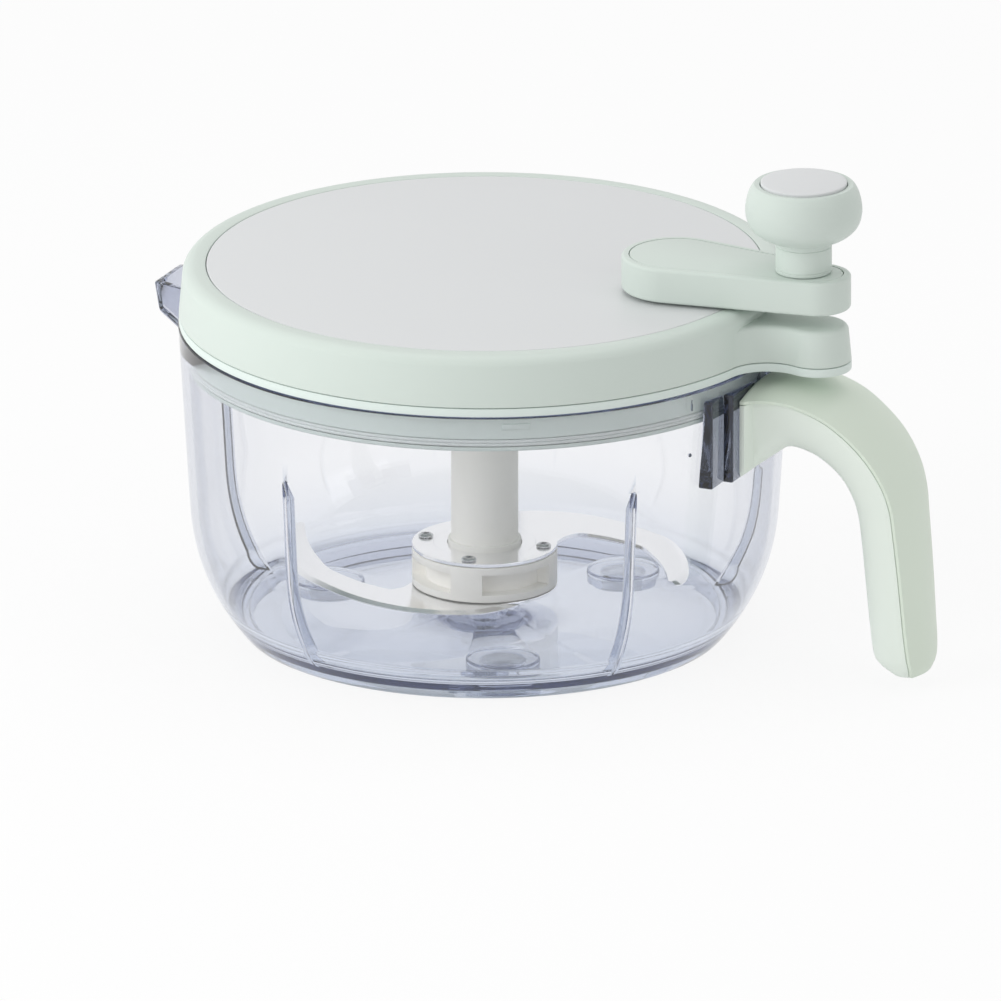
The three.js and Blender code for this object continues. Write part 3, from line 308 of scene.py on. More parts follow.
@dataclass(frozen=True)
class ClearPlastic(Finish):
    """Clear copolyester, polished in the mould; thick parts go blue grey because light is absorbed, and shade
    is painted on walls seen edge-on and on the lower bowl.
    """

    tint: str
    absorption: str
    density: float
    shade: str = "FEFEFF"
    pad_tint: str = "484E5A"
    spout_tint: str = "D9DCE6"
    rib_tint: str = "C6CDDC"
    # Painted shade of the lower bowl, partly the real tint of its thick floor
    base_tint_and_shade: str = "D9E0ED"
    # Painted shade of walls seen edge-on, partly the real tint of the long path through them
    painted_edge_shade: str = "8C98B2"
    painted_edge_shade_power: float = 3.0
    roughness: float = 0.015
    ior: float = 1.57
    ripple_mm: float = 38.0
    ripple_depth_mm: float = 0.02
    ripple_strength: float = 0.2
    wall: BowlWall = BowlWall()
    proud_mm: float = 0.3
    rib_low_mm: float = 14.0

    def tint_and_painted_shade(self, tree: Tree, place: Socket) -> Socket:
        """Colour that darkens the thick ribs and spout, the pad and the marks, and paints shade on the lower
        bowl and on walls seen edge-on.

        Args:
            tree: Node tree that gets the nodes.
            place: Object coordinates.

        Returns:
            Socket with the colour.
        """
        wall, slope = self.wall, math.tan(math.radians(self.wall.draft))
        axes = add_node(tree, "ShaderNodeSeparateXYZ", {}, {0: place}).outputs
        flat = add_node(tree, "ShaderNodeCombineXYZ", {}, {"X": axes["X"], "Y": axes["Y"]}).outputs[0]
        length = add_node(tree, "ShaderNodeVectorMath", {"operation": "LENGTH"}, {0: flat})
        curve = {"From Min": wall.curve_height * MM, "From Max": 0.0}
        values = {
            "x": axes["X"],
            "z": axes["Z"],
            "radius": length.outputs["Value"],
            "depth": add_node(tree, "ShaderNodeMapRange", curve, {"Value": axes["Z"]}).outputs["Result"],
            "facing": add_node(tree, "ShaderNodeLayerWeight").outputs["Facing"],
        }
        # Each row: name of a value, how it is calculated, and from what
        formula = (
            # Painted shade: darker blue grey where the wall is seen edge-on
            ("edge", "POWER", "facing", self.painted_edge_shade_power),
            # Share of the curved foot: shapes the wall and carries the painted shade of the lower bowl
            ("base", "POWER", "depth", wall.curve_power),
            ("straight", "MULTIPLY_ADD", "z", slope, (wall.rim_radius - wall.height * slope) * MM),
            ("wall", "MULTIPLY_ADD", "base", -wall.curve_inset * MM, "straight"),
            ("past", "SUBTRACT", "radius", "wall"),
            ("inside", "LESS_THAN", "past", -(wall.thickness + self.proud_mm) * MM),
            ("above_floor", "GREATER_THAN", "z", self.rib_low_mm * MM),
            ("rib", "MULTIPLY", "inside", "above_floor"),
            ("outside", "GREATER_THAN", "past", self.proud_mm * MM),
            ("handle_side", "GREATER_THAN", "x", 0.0),
            ("pad", "MULTIPLY", "outside", "handle_side"),
        )
        for name, operation, *operands in formula:
            numbers = {i: value for i, value in enumerate(operands) if not isinstance(value, str)}
            sockets = {i: values[value] for i, value in enumerate(operands) if isinstance(value, str)}
            node = add_node(tree, "ShaderNodeMath", {"operation": operation, **numbers}, sockets)
            values[name] = node.outputs[0]
        # Each layer covers the colours before it by its share
        tints = (self.base_tint_and_shade, self.rib_tint, self.spout_tint, self.pad_tint)
        # Painted shade on walls seen edge-on first, then painted shade on the lower bowl, then ribs, spout
        # and pad
        shaded_edges = {"data_type": "RGBA", UNDER: linear(self.tint), OVER: linear(self.painted_edge_shade)}
        colour = add_node(tree, "ShaderNodeMix", shaded_edges, {0: values["edge"]}).outputs[MIXED]
        for share, tint in zip(("base", "rib", "outside", "pad"), tints):
            layer = {"data_type": "RGBA", OVER: linear(tint)}
            colour = add_node(tree, "ShaderNodeMix", layer, {0: values[share], UNDER: colour}).outputs[MIXED]
        return colour

    def nodes(self, tree: Tree, place: Socket) -> dict[str, Socket]:
        """Add the plastic's nodes; light passes straight through it to what stands in its shadow.

        Args:
            tree: Node tree of the material.
            place: Object coordinates.

        Returns:
            Sockets of the surface and the volume.
        """
        settings = {"Roughness": self.roughness, "IOR": self.ior, "Transmission Weight": 1.0}
        strength, depth = self.ripple_strength, self.ripple_depth_mm
        links = {
            "Base Color": self.tint_and_painted_shade(tree, place),
            "Normal": grained(tree, place, self.ripple_mm, RIPPLE_DETAIL, strength, depth),
        }
        surface = add_node(tree, "ShaderNodeBsdfPrincipled", settings, links).outputs["BSDF"]
        passed = add_node(tree, "ShaderNodeBsdfTransparent", {"Color": linear(self.shade)}).outputs["BSDF"]
        shadow = add_node(tree, "ShaderNodeLightPath").outputs["Is Shadow Ray"]
        both = add_node(tree, "ShaderNodeMixShader", {}, {0: shadow, 1: surface, 2: passed}).outputs[0]
        haze = {"Color": linear(self.absorption), "Density": self.density}
        inside = add_node(tree, "ShaderNodeVolumeAbsorption", haze).outputs["Volume"]
        return {"Surface": both, "Volume": inside}


@dataclass(frozen=True)
class WorkedMetal(Finish):
    """Metal with polishing or turning marks, drawn coarser than real ones, that spread its highlights."""

    colour: str
    roughness: float
    mark_mm: float = 0.35
    mark_stretch: float = 14.0
    mark_detail: float = 4.0
    mark_depth_mm: float = 0.004
    mark_strength: float = 0.25
    bright_share: float = 0.8
    dull_share: float = 1.3

    def nodes(self, tree: Tree, place: Socket) -> dict[str, Socket]:
        """Add the metal's nodes.

        Args:
            tree: Node tree of the material.
            place: Object coordinates.

        Returns:
            Socket of the surface.
        """
        stretch = {"Scale": (1.0, self.mark_stretch, 1.0)}
        drawn = add_node(tree, "ShaderNodeMapping", stretch, {"Vector": place}).outputs["Vector"]
        size = {"Scale": 1 / (self.mark_mm * self.mark_stretch * MM), "Detail": self.mark_detail}
        marks = add_node(tree, "ShaderNodeTexNoise", size, {"Vector": drawn}).outputs["Fac"]
        low, high = self.roughness * self.bright_share, self.roughness * self.dull_share
        span = {"From Min": NOISE_LOW, "From Max": NOISE_HIGH, "To Min": low, "To Max": high}
        relief = {"Strength": self.mark_strength, "Distance": self.mark_depth_mm * MM}
        links = {
            "Roughness": add_node(tree, "ShaderNodeMapRange", span, {"Value": marks}).outputs["Result"],
            "Normal": add_node(tree, "ShaderNodeBump", relief, {"Height": marks}).outputs["Normal"],
        }
        settings = {"Base Color": linear(self.colour), "Metallic": 1.0}
        return {"Surface": add_node(tree, "ShaderNodeBsdfPrincipled", settings, links).outputs["BSDF"]}


@dataclass(frozen=True)
class Paper(Finish):
    """Matt white paper that shows a little brighter than it is lit, with its shadow kept."""

    colour: str = "FAFAFA"
    lift: float = 0.88
    grain_mm: float = 1.5
    grain_depth_mm: float = 0.01
    grain_strength: float = 0.1

    def nodes(self, tree: Tree, place: Socket) -> dict[str, Socket]:
        """Add the paper's nodes.

        Args:
            tree: Node tree of the material.
            place: Object coordinates.

        Returns:
            Socket of the surface.
        """
        strength, depth = self.grain_strength, self.grain_depth_mm
        grain = grained(tree, place, self.grain_mm, GRAIN_DETAIL, strength, depth)
        paper = add_node(tree, "ShaderNodeBsdfDiffuse", {"Color": linear(self.colour)}, {"Normal": grain})
        white = add_node(tree, "ShaderNodeEmission", {"Color": linear(WHITE), "Strength": 1.0})
        lifted = {"operation": "MULTIPLY", 1: self.lift}
        share = add_node(tree, "ShaderNodeMath", lifted, {0: seen_directly(tree)}).outputs[0]
        both = {0: share, 1: paper.outputs[0], 2: white.outputs[0]}
        return {"Surface": add_node(tree, "ShaderNodeMixShader", {}, both).outputs[0]}


# Pale green ABS from a satin mould: soft wide highlights, even colour
MINT = MouldedPlastic("mint_satin_moulded_abs", "CFDAD3", "D3DDD6", 0.42)
# Handle: the same ABS drawn a little lighter as painted light, and a little yellower
LIT_HANDLE_MINT = MouldedPlastic("mint_abs_of_handle_painted_lighter", "DEE9DA", "E1ECDE", 0.42)
# Lid's base: the same ABS drawn a little lighter, painted light on its collar seen through the bowl
LIT_BASE_MINT = MouldedPlastic("mint_abs_of_lid_base_painted_lighter", "DAE5E0", "DDE8E3", 0.42)
# Grip: the same ABS drawn paler still than its cover, painted light on the grip's brighter lit side
LIT_GRIP_MINT = MouldedPlastic("mint_abs_of_grip_painted_lightest", "EAF3EA", "EDF5EC", 0.42)
# Pale grey ABS plate with a finer, slightly glossier face than the green housings
PLATE = MouldedPlastic("pale_grey_moulded_abs_plate", "D9DBDC", "DCDEDF", 0.36, grain_mm=0.7)
# Cream polypropylene: waxy, lets a little light in
CREAM = MouldedPlastic("cream_moulded_polypropylene", "FBF9F2", "F8F5ED", 0.4, 1.49, glow=0.15)
# White acetal of the gears: dense, slippery, faint sheen
ACETAL = MouldedPlastic("white_moulded_acetal", "F1F1EC", "ECECE6", 0.45, 1.48)
# Translucent white silicone: matt and soft looking
SILICONE = MouldedPlastic("matt_translucent_silicone", "E4EAE8", "E0E6E4", 0.7, 1.41, glow=0.3)
# Clear silicone of the feet: soft, slightly milky
FOOT_SILICONE = MouldedPlastic("milky_clear_silicone", "F1F4F8", "ECEFF4", 0.3, 1.41, clearness=0.85)
# Clear copolyester: bright, nearly colourless through one wall, blue grey through its edges, partly painted
# shade
CLEAR = ClearPlastic("clear_polished_copolyester", "FFFFFF", "5E78AE", 19.0)
# Stainless steel sheet, polished: nearly a mirror with a slight haze
BLADE_STEEL = WorkedMetal("polished_stainless_steel_sheet", "F8F8F9", 0.16)
# Ground steel of pins and axles
PIN_STEEL = WorkedMetal("ground_steel_rod", "C4C6C8", 0.24)
# Sintered bronze of the bushes: porous and dull
BRONZE = WorkedMetal("sintered_bronze", "B08D57", 0.45, mark_mm=0.6, mark_stretch=1.0)
# Matt white paper sweep under the object
PAPER = Paper("matt_white_paper_sweep")


def make_object(name: str, points: Sequence[Vector], faces: Sequence[Sequence[int]]) -> Piece:
    """Make a mesh object from points in millimetres.

    Args:
        name: Piece name.
        points: Vertex places in millimetres.
        faces: Vertex indices of each face.

    Returns:
        The new object, linked to the scene.
    """
    mesh = bpy.data.meshes.new(name)
    mesh.from_pydata([Vector(p) * MM for p in points], [], faces)
    mesh.validate()
    piece = bpy.data.objects.new(name, mesh)
    bpy.context.scene.collection.objects.link(piece)
    return piece


def discard(piece: Piece) -> None:
    """Remove an object that was only a tool."""
    bpy.data.objects.remove(piece)


def loft(name: str, rings: Sequence[Ring]) -> Piece:
    """Skin rings of equally many points, with flat ends.

    Args:
        name: Piece name.
        rings: Rings of points, anticlockwise seen from the last ring.

    Returns:
        The closed mesh object.
    """
    count = len(rings[0])
    points = [point for ring in rings for point in ring]
    last = len(points) - count
    faces = []
    for base in range(0, last, count):
        after = base + count
        for j in range(count):
            k = (j + 1) % count
            faces.append((base + j, base + k, after + k, after + j))
    faces.append(tuple(range(count - 1, -1, -1)))
    faces.append(tuple(range(last, last + count)))
    return make_object(name, points, faces)


def lathe(name: str, profile: Outline, steps: int = MEDIUM_STEPS) -> Piece:
    """Turn a profile about Z.

    Args:
        name: Piece name.
        profile: Radius and height points, anticlockwise with Z up and the axis on the left. It
            starts and ends on the axis or closes on itself.
        steps: Number of flats round the axis.

    Returns:
        The closed mesh object.
    """
    on_axis = profile[0][0] == 0 and profile[-1][0] == 0
    inner = profile[1:-1] if on_axis else profile
    count = len(inner)
    points = []
    for i in range(steps):
        angle = 2 * math.pi * i / steps
        points += [Vector((r * math.cos(angle), r * math.sin(angle), z)) for r, z in inner]
    faces = []
    for i in range(steps):
        base, after = i * count, ((i + 1) % steps) * count
        for j in range(count - 1 if on_axis else count):
            k = (j + 1) % count
            faces.append((base + j, after + j, after + k, base + k))
    if on_axis:
        low, high = len(points), len(points) + 1
        points += [Vector((0, 0, profile[0][1])), Vector((0, 0, profile[-1][1]))]
        for i in range(steps):
            base, after = i * count, ((i + 1) % steps) * count
            faces.append((low, after, base))
            faces.append((high, base + count - 1, after + count - 1))
    return make_object(name, points, faces)


def arc(centre: tuple[float, float], radius: float, start: float, end: float, steps: int) -> Outline:
    """Points of an arc.

    Args:
        centre: Middle of the arc.
        radius: Its radius.
        start: First angle in degrees.
        end: Last angle in degrees.
        steps: Number of chords.

    Returns:
        Points from the first to the last angle.
    """
    points = []
    for i in range(steps + 1):
        angle = math.radians(start + (end - start) * i / steps)
        points.append((centre[0] + radius * math.cos(angle), centre[1] + radius * math.sin(angle)))
    return points


def quarter(steps: int) -> list[float]:
    """Angles from zero to a right angle, in radians."""
    return [math.pi / 2 * i / steps for i in range(steps + 1)]


def rounded(x: float, y: float, radius: float, start: float, steps: int = SOME) -> Outline:
    """Quarter round in place of an outward corner.

    Args:
        x: First coordinate of the corner.
        y: Second coordinate of the corner.
        radius: Radius of the round.
        start: Angle in degrees at which it starts to turn anticlockwise.
        steps: Number of chords.

    Returns:
        Points of the round.
    """
    middle = math.radians(start + RIGHT_ANGLE / 2)
    centre_x = x - math.copysign(radius, math.cos(middle))
    centre_y = y - math.copysign(radius, math.sin(middle))
    return arc((centre_x, centre_y), radius, start, start + RIGHT_ANGLE, steps)


def inset_outline(outline: Outline, inset: float) -> Outline:
    """Move a smooth anticlockwise outline inwards.

    Args:
        outline: Points of the outline.
        inset: Distance inwards in millimetres.

    Returns:
        As many points, each moved along its normal.
    """
    moved = []
    for i, (x, y) in enumerate(outline):
        before, after = outline[i - 1], outline[(i + 1) % len(outline)]
        first = Vector((x - before[0], y - before[1])).normalized()
        second = Vector((after[0] - x, after[1] - y)).normalized()
        normal = Vector((-(first.y + second.y), first.x + second.x)).normalized()
        stretch = 1 / max(NARROWEST_MITRE, normal.dot(Vector((-first.y, first.x))))
        moved.append((x + normal.x * inset * stretch, y + normal.y * inset * stretch))
    return moved


def at_height(outline: Outline, z: float) -> Ring:
    """Ring of an outline laid at a height."""
    return [Vector((x, y, z)) for x, y in outline]


def prism(name: str, outline: Outline, low: float, high: float) -> Piece:
    """Upright prism with sharp edges, between two heights."""
    return loft(name, [at_height(outline, low), at_height(outline, high)])


def edge_levels(height: float, edge: float, way: int, steps: int) -> Outline:
    """Heights and insets of the rows that round an edge.

    Args:
        height: Height of the flat face at the edge.
        edge: Radius of the edge, zero for a sharp one.
        way: 1 where the side lies above the face, -1 where it lies below.
        steps: Chords of the round.

    Returns:
        One row for each chord's end, the side's row first.
    """
    if not edge:
        return [(height, 0.0)]
    return [(height + way * edge * (1 - math.sin(t)), edge * (1 - math.cos(t))) for t in quarter(steps)]


def soft_prism(
    name: str,
    outline: Outline,
    low: float,
    high: float,
    edges: tuple[float, float],
    steps: int = 5,
    draft: float = 0.0,
) -> Piece:
    """Upright prism with rounded edges.

    Args:
        name: Piece name.
        outline: Anticlockwise outline seen from above.
        low: Height of the underside.
        high: Height of the top.
        edges: Radii of the lower and the upper edge, zero for a sharp one.
        steps: Chords of each edge round.
        draft: Distance that the top is drawn in from the underside.

    Returns:
        The closed mesh object.
    """
    levels = edge_levels(low, edges[0], 1, steps)[::-1] + edge_levels(high, edges[1], -1, steps)
    rings = []
    for z, round_inset in levels:
        inset = round_inset + draft * (z - low) / (high - low)
        rings.append(at_height(inset_outline(outline, inset) if inset else outline, z))
    return loft(name, rings)


def round_bar(name: str, radius: float, low: float, high: float, steps: int = SMALL_STEPS) -> Piece:
    """Plain upright round bar, used as a cutter or a boss.

    Args:
        name: Piece name.
        radius: Its radius.
        low: Lower end.
        high: Upper end.
        steps: Number of flats.

    Returns:
        The closed mesh object.
    """
    return lathe(name, [(0, low), (radius, low), (radius, high), (0, high)], steps)


def box_between(name: str, low: Sequence[float], high: Sequence[float]) -> Piece:
    """Plain block between two corners, used as a cutter or a boss.

    Args:
        name: Piece name.
        low: Lowest corner.
        high: Highest corner.

    Returns:
        The closed mesh object.
    """
    corners = [(low[0], low[1]), (high[0], low[1]), (high[0], high[1]), (low[0], high[1])]
    return prism(name, corners, low[2], high[2])


def settle(piece: Piece) -> Piece:
    """Turn the evaluated result of a piece's modifiers into its plain mesh.

    Args:
        piece: Object with modifiers.

    Returns:
        The same object, with a new mesh and no modifiers.
    """
    graph = bpy.context.evaluated_depsgraph_get()
    mesh = bpy.data.meshes.new_from_object(piece.evaluated_get(graph))
    piece.modifiers.clear()
    piece.data = mesh
    return piece


def combine(base: Piece, others: Sequence[Piece], operation: Operation) -> Piece:
    """Join or cut closed meshes.

    Args:
        base: Object that is changed.
        others: Objects that change it; they are removed.
        operation: Whether they are added or taken away.

    Returns:
        The changed base.
    """
    for other in others:
        change = base.modifiers.new("shape", "BOOLEAN")
        change.operation = operation.value
        change.solver = "MANIFOLD"
        change.object = other
    settle(base)
    for other in others:
        discard(other)
    return base


def bevelled(piece: Piece, width: float, angle: float = 40.0, steps: int = 2) -> Piece:
    """Round the sharp edges of a piece a little.

    Args:
        piece: Object to change.
        width: Bevel width in millimetres.
        angle: Smallest edge angle in degrees that is rounded.
        steps: Segments of the bevel.

    Returns:
        The same object.
    """
    change = piece.modifiers.new("edges", "BEVEL")
    change.width = width * MM
    change.segments = steps
    change.limit_method = "ANGLE"
    change.angle_limit = math.radians(angle)
    change.use_clamp_overlap = True
    return settle(piece)


def smooth(piece: Piece, angle: float = SHARP_ANGLE) -> Piece:
    """Shade a piece smooth and keep its sharp edges.

    Args:
        piece: Object to shade.
        angle: Edges sharper than this stay sharp.

    Returns:
        The same object.
    """
    mesh = piece.data
    mesh.polygons.foreach_set("use_smooth", [True] * len(mesh.polygons))
    mesh.set_sharp_from_angle(angle=angle)
    return piece


def shifted(piece: Piece, x: float, y: float, z: float = 0.0) -> Piece:
    """Move a piece's mesh by millimetres and leave its object at the origin."""
    piece.data.transform(Matrix.Translation((x * MM, y * MM, z * MM)))
    return piece


def turned(piece: Piece, angle: float) -> Piece:
    """Turn a piece's mesh about Z by degrees and leave its object unturned."""
    piece.data.transform(Matrix.Rotation(math.radians(angle), MATRIX_SIZE, "Z"))
    return piece


def ring_tree(master: Piece, material: bpy.types.Material) -> Tree:
    """Build the node tree that sets copies of a master on a circle about Z.

    Args:
        master: Object that is copied.
        material: Material that the copies get.

    Returns:
        The geometry node tree, with inputs Count, Radius and First Angle.
    """
    tree = bpy.data.node_groups.new("ring_of_" + master.name, "GeometryNodeTree")
    for name, kind in (("Count", "Int"), ("Radius", "Float"), ("First Angle", "Float")):
        tree.interface.new_socket(name, in_out="INPUT", socket_type="NodeSocket" + kind)
    tree.interface.new_socket("Geometry", in_out="OUTPUT", socket_type="NodeSocketGeometry")
    given = add_node(tree, "NodeGroupInput").outputs
    index = add_node(tree, "GeometryNodeInputIndex").outputs["Index"]
    share = {"operation": "DIVIDE", 0: 2 * math.pi}
    step = add_node(tree, "ShaderNodeMath", share, {1: given["Count"]}).outputs[0]
    steps = {0: index, 1: step, 2: given["First Angle"]}
    turn = add_node(tree, "ShaderNodeMath", {"operation": "MULTIPLY_ADD"}, steps).outputs[0]
    side = {}
    for axis, operation in (("X", "COSINE"), ("Y", "SINE")):
        side[axis] = add_node(tree, "ShaderNodeMath", {"operation": operation}, {0: turn}).outputs[0]
    way = add_node(tree, "ShaderNodeCombineXYZ", {}, side).outputs[0]
    reach = {"Vector": way, "Scale": given["Radius"]}
    place = add_node(tree, "ShaderNodeVectorMath", {"operation": "SCALE"}, reach).outputs["Vector"]
    spots = add_node(tree, "GeometryNodePoints", {}, {"Count": given["Count"], "Position": place}).outputs[0]
    source = add_node(tree, "GeometryNodeObjectInfo", {"Object": master}).outputs["Geometry"]
    spin = add_node(tree, "ShaderNodeCombineXYZ", {}, {"Z": turn}).outputs[0]
    set_out = {"Points": spots, "Instance": source, "Rotation": spin}
    copies = add_node(tree, "GeometryNodeInstanceOnPoints", {}, set_out).outputs["Instances"]
    real = add_node(tree, "GeometryNodeRealizeInstances", {}, {"Geometry": copies}).outputs["Geometry"]
    dressed = add_node(tree, "GeometryNodeSetMaterial", {"Material": material}, {"Geometry": real})
    add_node(tree, "NodeGroupOutput", {}, {"Geometry": dressed.outputs["Geometry"]})
    return tree


def ring_of_copies(
    name: str, master: Piece, finish: Finish, count: int, radius: float, first_angle: float
) -> Piece:
    """Set copies of a master on a circle about Z and keep them as one plain mesh.

    Args:
        name: Piece name.
        master: Object that is copied and then removed.
        finish: Finish of the copies.
        count: Number of copies.
        radius: Radius of the circle in millimetres.
        first_angle: Angle of the first copy in degrees.

    Returns:
        The mesh object with all the copies.
    """
    host = make_object(name, [], [])
    tree = ring_tree(master, finish.material)
    change = host.modifiers.new("ring", "NODES")
    change.node_group = tree
    given = {"Count": count, "Radius": radius * MM, "First Angle": math.radians(first_angle)}
    for item in tree.interface.items_tree:
        if item.in_out == "INPUT":
            change[item.identifier] = given[item.name]
    settle(host)
    discard(master)
    return host


def install(piece: Piece, body: Body, slot: str, finish: Finish, *nodes: str) -> None:
    """Give a finished piece its finish and its body, and hide the CAD nodes that it stands for.

    Args:
        piece: Finished mesh object.
        body: Rigid body that it moves with.
        slot: Not used.
        finish: Its finish.
        nodes: CAD nodes that it replaces.
    """
    piece.data.materials.clear()
    piece.data.materials.append(finish.material)
    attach(piece, body.value)
    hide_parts(*nodes)
    log.info("%s: %d faces on %s", piece.name, len(piece.data.polygons), body.value)


def numbered(stem: str, count: int) -> list[str]:
    """Names of nodes that are numbered from 1."""
    return [f"{stem}_{i + 1}" for i in range(count)]


def flip_if_inside_out(piece: Piece) -> None:
    """Make a closed mesh's faces point outwards."""
    bm = bmesh.new()
    bm.from_mesh(piece.data)
    if bm.calc_volume(signed=True) < 0:
        bmesh.ops.reverse_faces(bm, faces=bm.faces)
    bm.to_mesh(piece.data)
    bm.free()


def catmull(rows: Sequence[Sequence[float]], steps: int) -> list[list[float]]:
    """Pass a smooth curve through rows of numbers.

    Args:
        rows: Values at the stations.
        steps: Steps between two stations.

    Returns:
        Rows of values at all the steps, ends included.
    """
    fine = []
    last = len(rows) - 1
    for i in range(last):
        p0, p1, p2, p3 = rows[max(i - 1, 0)], rows[i], rows[i + 1], rows[min(i + 2, last)]
        for j in range(steps):
            t = j / steps
            row = []
            for a, b, c, d in zip(p0, p1, p2, p3):
                bend = 2 * a - 5 * b + 4 * c - d
                row.append(0.5 * (2 * b + (c - a) * t + bend * t**2 + (3 * b - a - 3 * c + d) * t**3))
            fine.append(row)
    fine.append(list(rows[last]))
    return fine


def axis_of(node: str) -> tuple[float, float]:
    """Find the upright axis of a round CAD node.

    Args:
        node: Name of the node.

    Returns:
        Its X and Y in millimetres.
    """
    low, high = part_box(node)
    middle = (low + high) / 2 / MM
    return middle.x, middle.y


@dataclass
class Bowl:
    """Clear bowl with its spout, ribs, feet and the pad that carries the handle."""

    wall: BowlWall
    floor_lift: float = 4.4
    floor_thickness: float = 2.6
    floor_corner_height: float = 6.0
    floor_corner_reach: float = 5.0
    foot_ring_wall: float = 2.6
    foot_ring_edge: float = 0.45
    underside_fillet: float = 0.4
    centre_boss_radius: float = 12.0
    pin_boss_radius: float = 8.0
    pin_boss_rise: float = 3.5
    pin_hole_radius: float = 4.3
    pin_hole_floor: float = 1.6
    rim_edge: float = 0.7
    rim_turn: float = 10.0
    rib_count: int = 5
    rib_thickness: float = 2.8
    rib_depth: float = 3.5
    rib_foot_growth: float = 0.5
    rib_top: float = 80.0
    rib_point: float = 10.0
    rib_bury: float = 1.4
    rib_edge: float = 1.2
    foot_count: int = 3
    foot_circle: float = 60.0
    foot_boss_radius: float = 12.8
    foot_boss_low: float = 0.6
    foot_boss_rise: float = 0.6
    foot_recess: float = 3.4
    foot_pad_radius: float = 7.6
    foot_pad_drop: float = 1.0
    spout_root_inset: float = 12.0
    spout_projection: float = 14.9
    spout_mouth_width: float = 21.2
    spout_flare: float = 16.0
    spout_wall: float = 2.2
    spout_lip_rise: float = 1.7
    spout_end_lean: float = 1.6
    spout_end_taper: float = 0.8
    spout_mouth_depth: float = 10.1
    spout_root_depth: float = 22.9
    spout_corner: float = 2.6
    spout_edge: float = 0.9
    cap_radius: float = 60.3
    cap_x: float = -49.1
    pad_face: float = 106.2
    pad_root: float = 11.0
    pad_half_width: float = 37.0
    pad_seat_half_width: float = 27.3
    pad_step: float = 3.4
    pad_low: float = 73.0
    pad_high: float = 105.0
    pad_edge: float = 0.8
    tongue_half_width: float = 5.0
    tongue_depth: float = 1.6
    tongue_top: float = 93.0
    mark_angle: float = -23.6
    mark_dot_height: float = 86.6
    mark_dot_radius: float = 0.7
    mark_line_low: float = 103.0
    mark_line_high: float = 107.0
    mark_line_width: float = 0.6
    mark_rise: float = 0.35
    mark_line_edge: float = 0.15
    mark_dot_side: float = 0.1
    mark_dot_arc: tuple[float, float] = (20.0, 70.0)
    mark_dot_top: float = 0.6
    mark_dot_steps: int = 20
    mark_sunk: float = 1.0
    pin_boss_edge: float = 0.5
    foot_boss_chamfer: float = 0.5
    foot_boss_edge: float = 0.8
    foot_pad_edge: float = 0.7
    foot_pad_top_edge: float = 0.3
    foot_pad_hollow: float = 0.35
    foot_pad_hollow_shares: tuple[float, float] = (0.55, 0.6)
    floor_corner_gap: float = 1.0
    floor_corner_steps: int = 12
    outside_steps: int = 30
    hollow_steps: int = 20
    spout_steps: int = 12
    rib_steps: int = 24
    rib_point_steps: int = 8

    @property
    def floor_top(self) -> float:
        """Height of the floor inside the bowl."""
        return self.floor_lift + self.floor_thickness

    def filled_body(self) -> Piece:
        """Outside of the bowl, still filled, with the hollow under its floor.

        Returns:
            The closed mesh object.
        """
        ring_inner = self.wall.outer(0) - self.foot_ring_wall
        edge, fillet, rim = self.foot_ring_edge, self.underside_fillet, self.rim_edge
        boss, lift, top = self.centre_boss_radius, self.floor_lift, self.wall.height
        profile = [(0, 0), *rounded(boss, 0, edge, -90)]
        profile += arc((boss + fillet, lift - fillet), fillet, 180, 90, SOME)
        profile += arc((ring_inner - fillet, lift - fillet), fillet, 90, 0, SOME)
        profile += [*rounded(ring_inner, 0, edge, 180), (self.wall.outer(0) - edge, 0)]
        heights = self.wall.heights(edge / 2, top - rim, self.outside_steps)
        profile += [(self.wall.outer(z), z) for z in heights]
        profile += [*arc((self.wall.outer(top) - rim, top - rim), rim, self.rim_turn, 90, MORE), (0, top)]
        return lathe("bowl", profile, FINE_STEPS)

    def hollow(self) -> Piece:
        """Space inside the bowl, as a cutter.

        Returns:
            The closed mesh object.
        """
        corner_top = self.floor_top + self.floor_corner_height
        corner_radius = self.wall.inner(corner_top)
        wall, low, rim = self.wall, corner_top + self.floor_corner_gap, self.rim_edge
        profile = [(0, self.floor_top)]
        for turn in quarter(self.floor_corner_steps):
            radius = corner_radius - self.floor_corner_reach * (1 - math.sin(turn))
            profile.append((radius, corner_top - self.floor_corner_height * math.cos(turn)))
        profile += [(wall.inner(z), z) for z in wall.heights(low, wall.height - rim, self.hollow_steps)]
        centre, top = wall.inner(wall.height) + rim, wall.height + OVERRUN
        profile += arc((centre, wall.height - rim), rim, 180 - self.rim_turn, 90, MORE)
        profile += [(centre, top), (0, top)]
        return lathe("bowl_hollow", profile, FINE_STEPS)

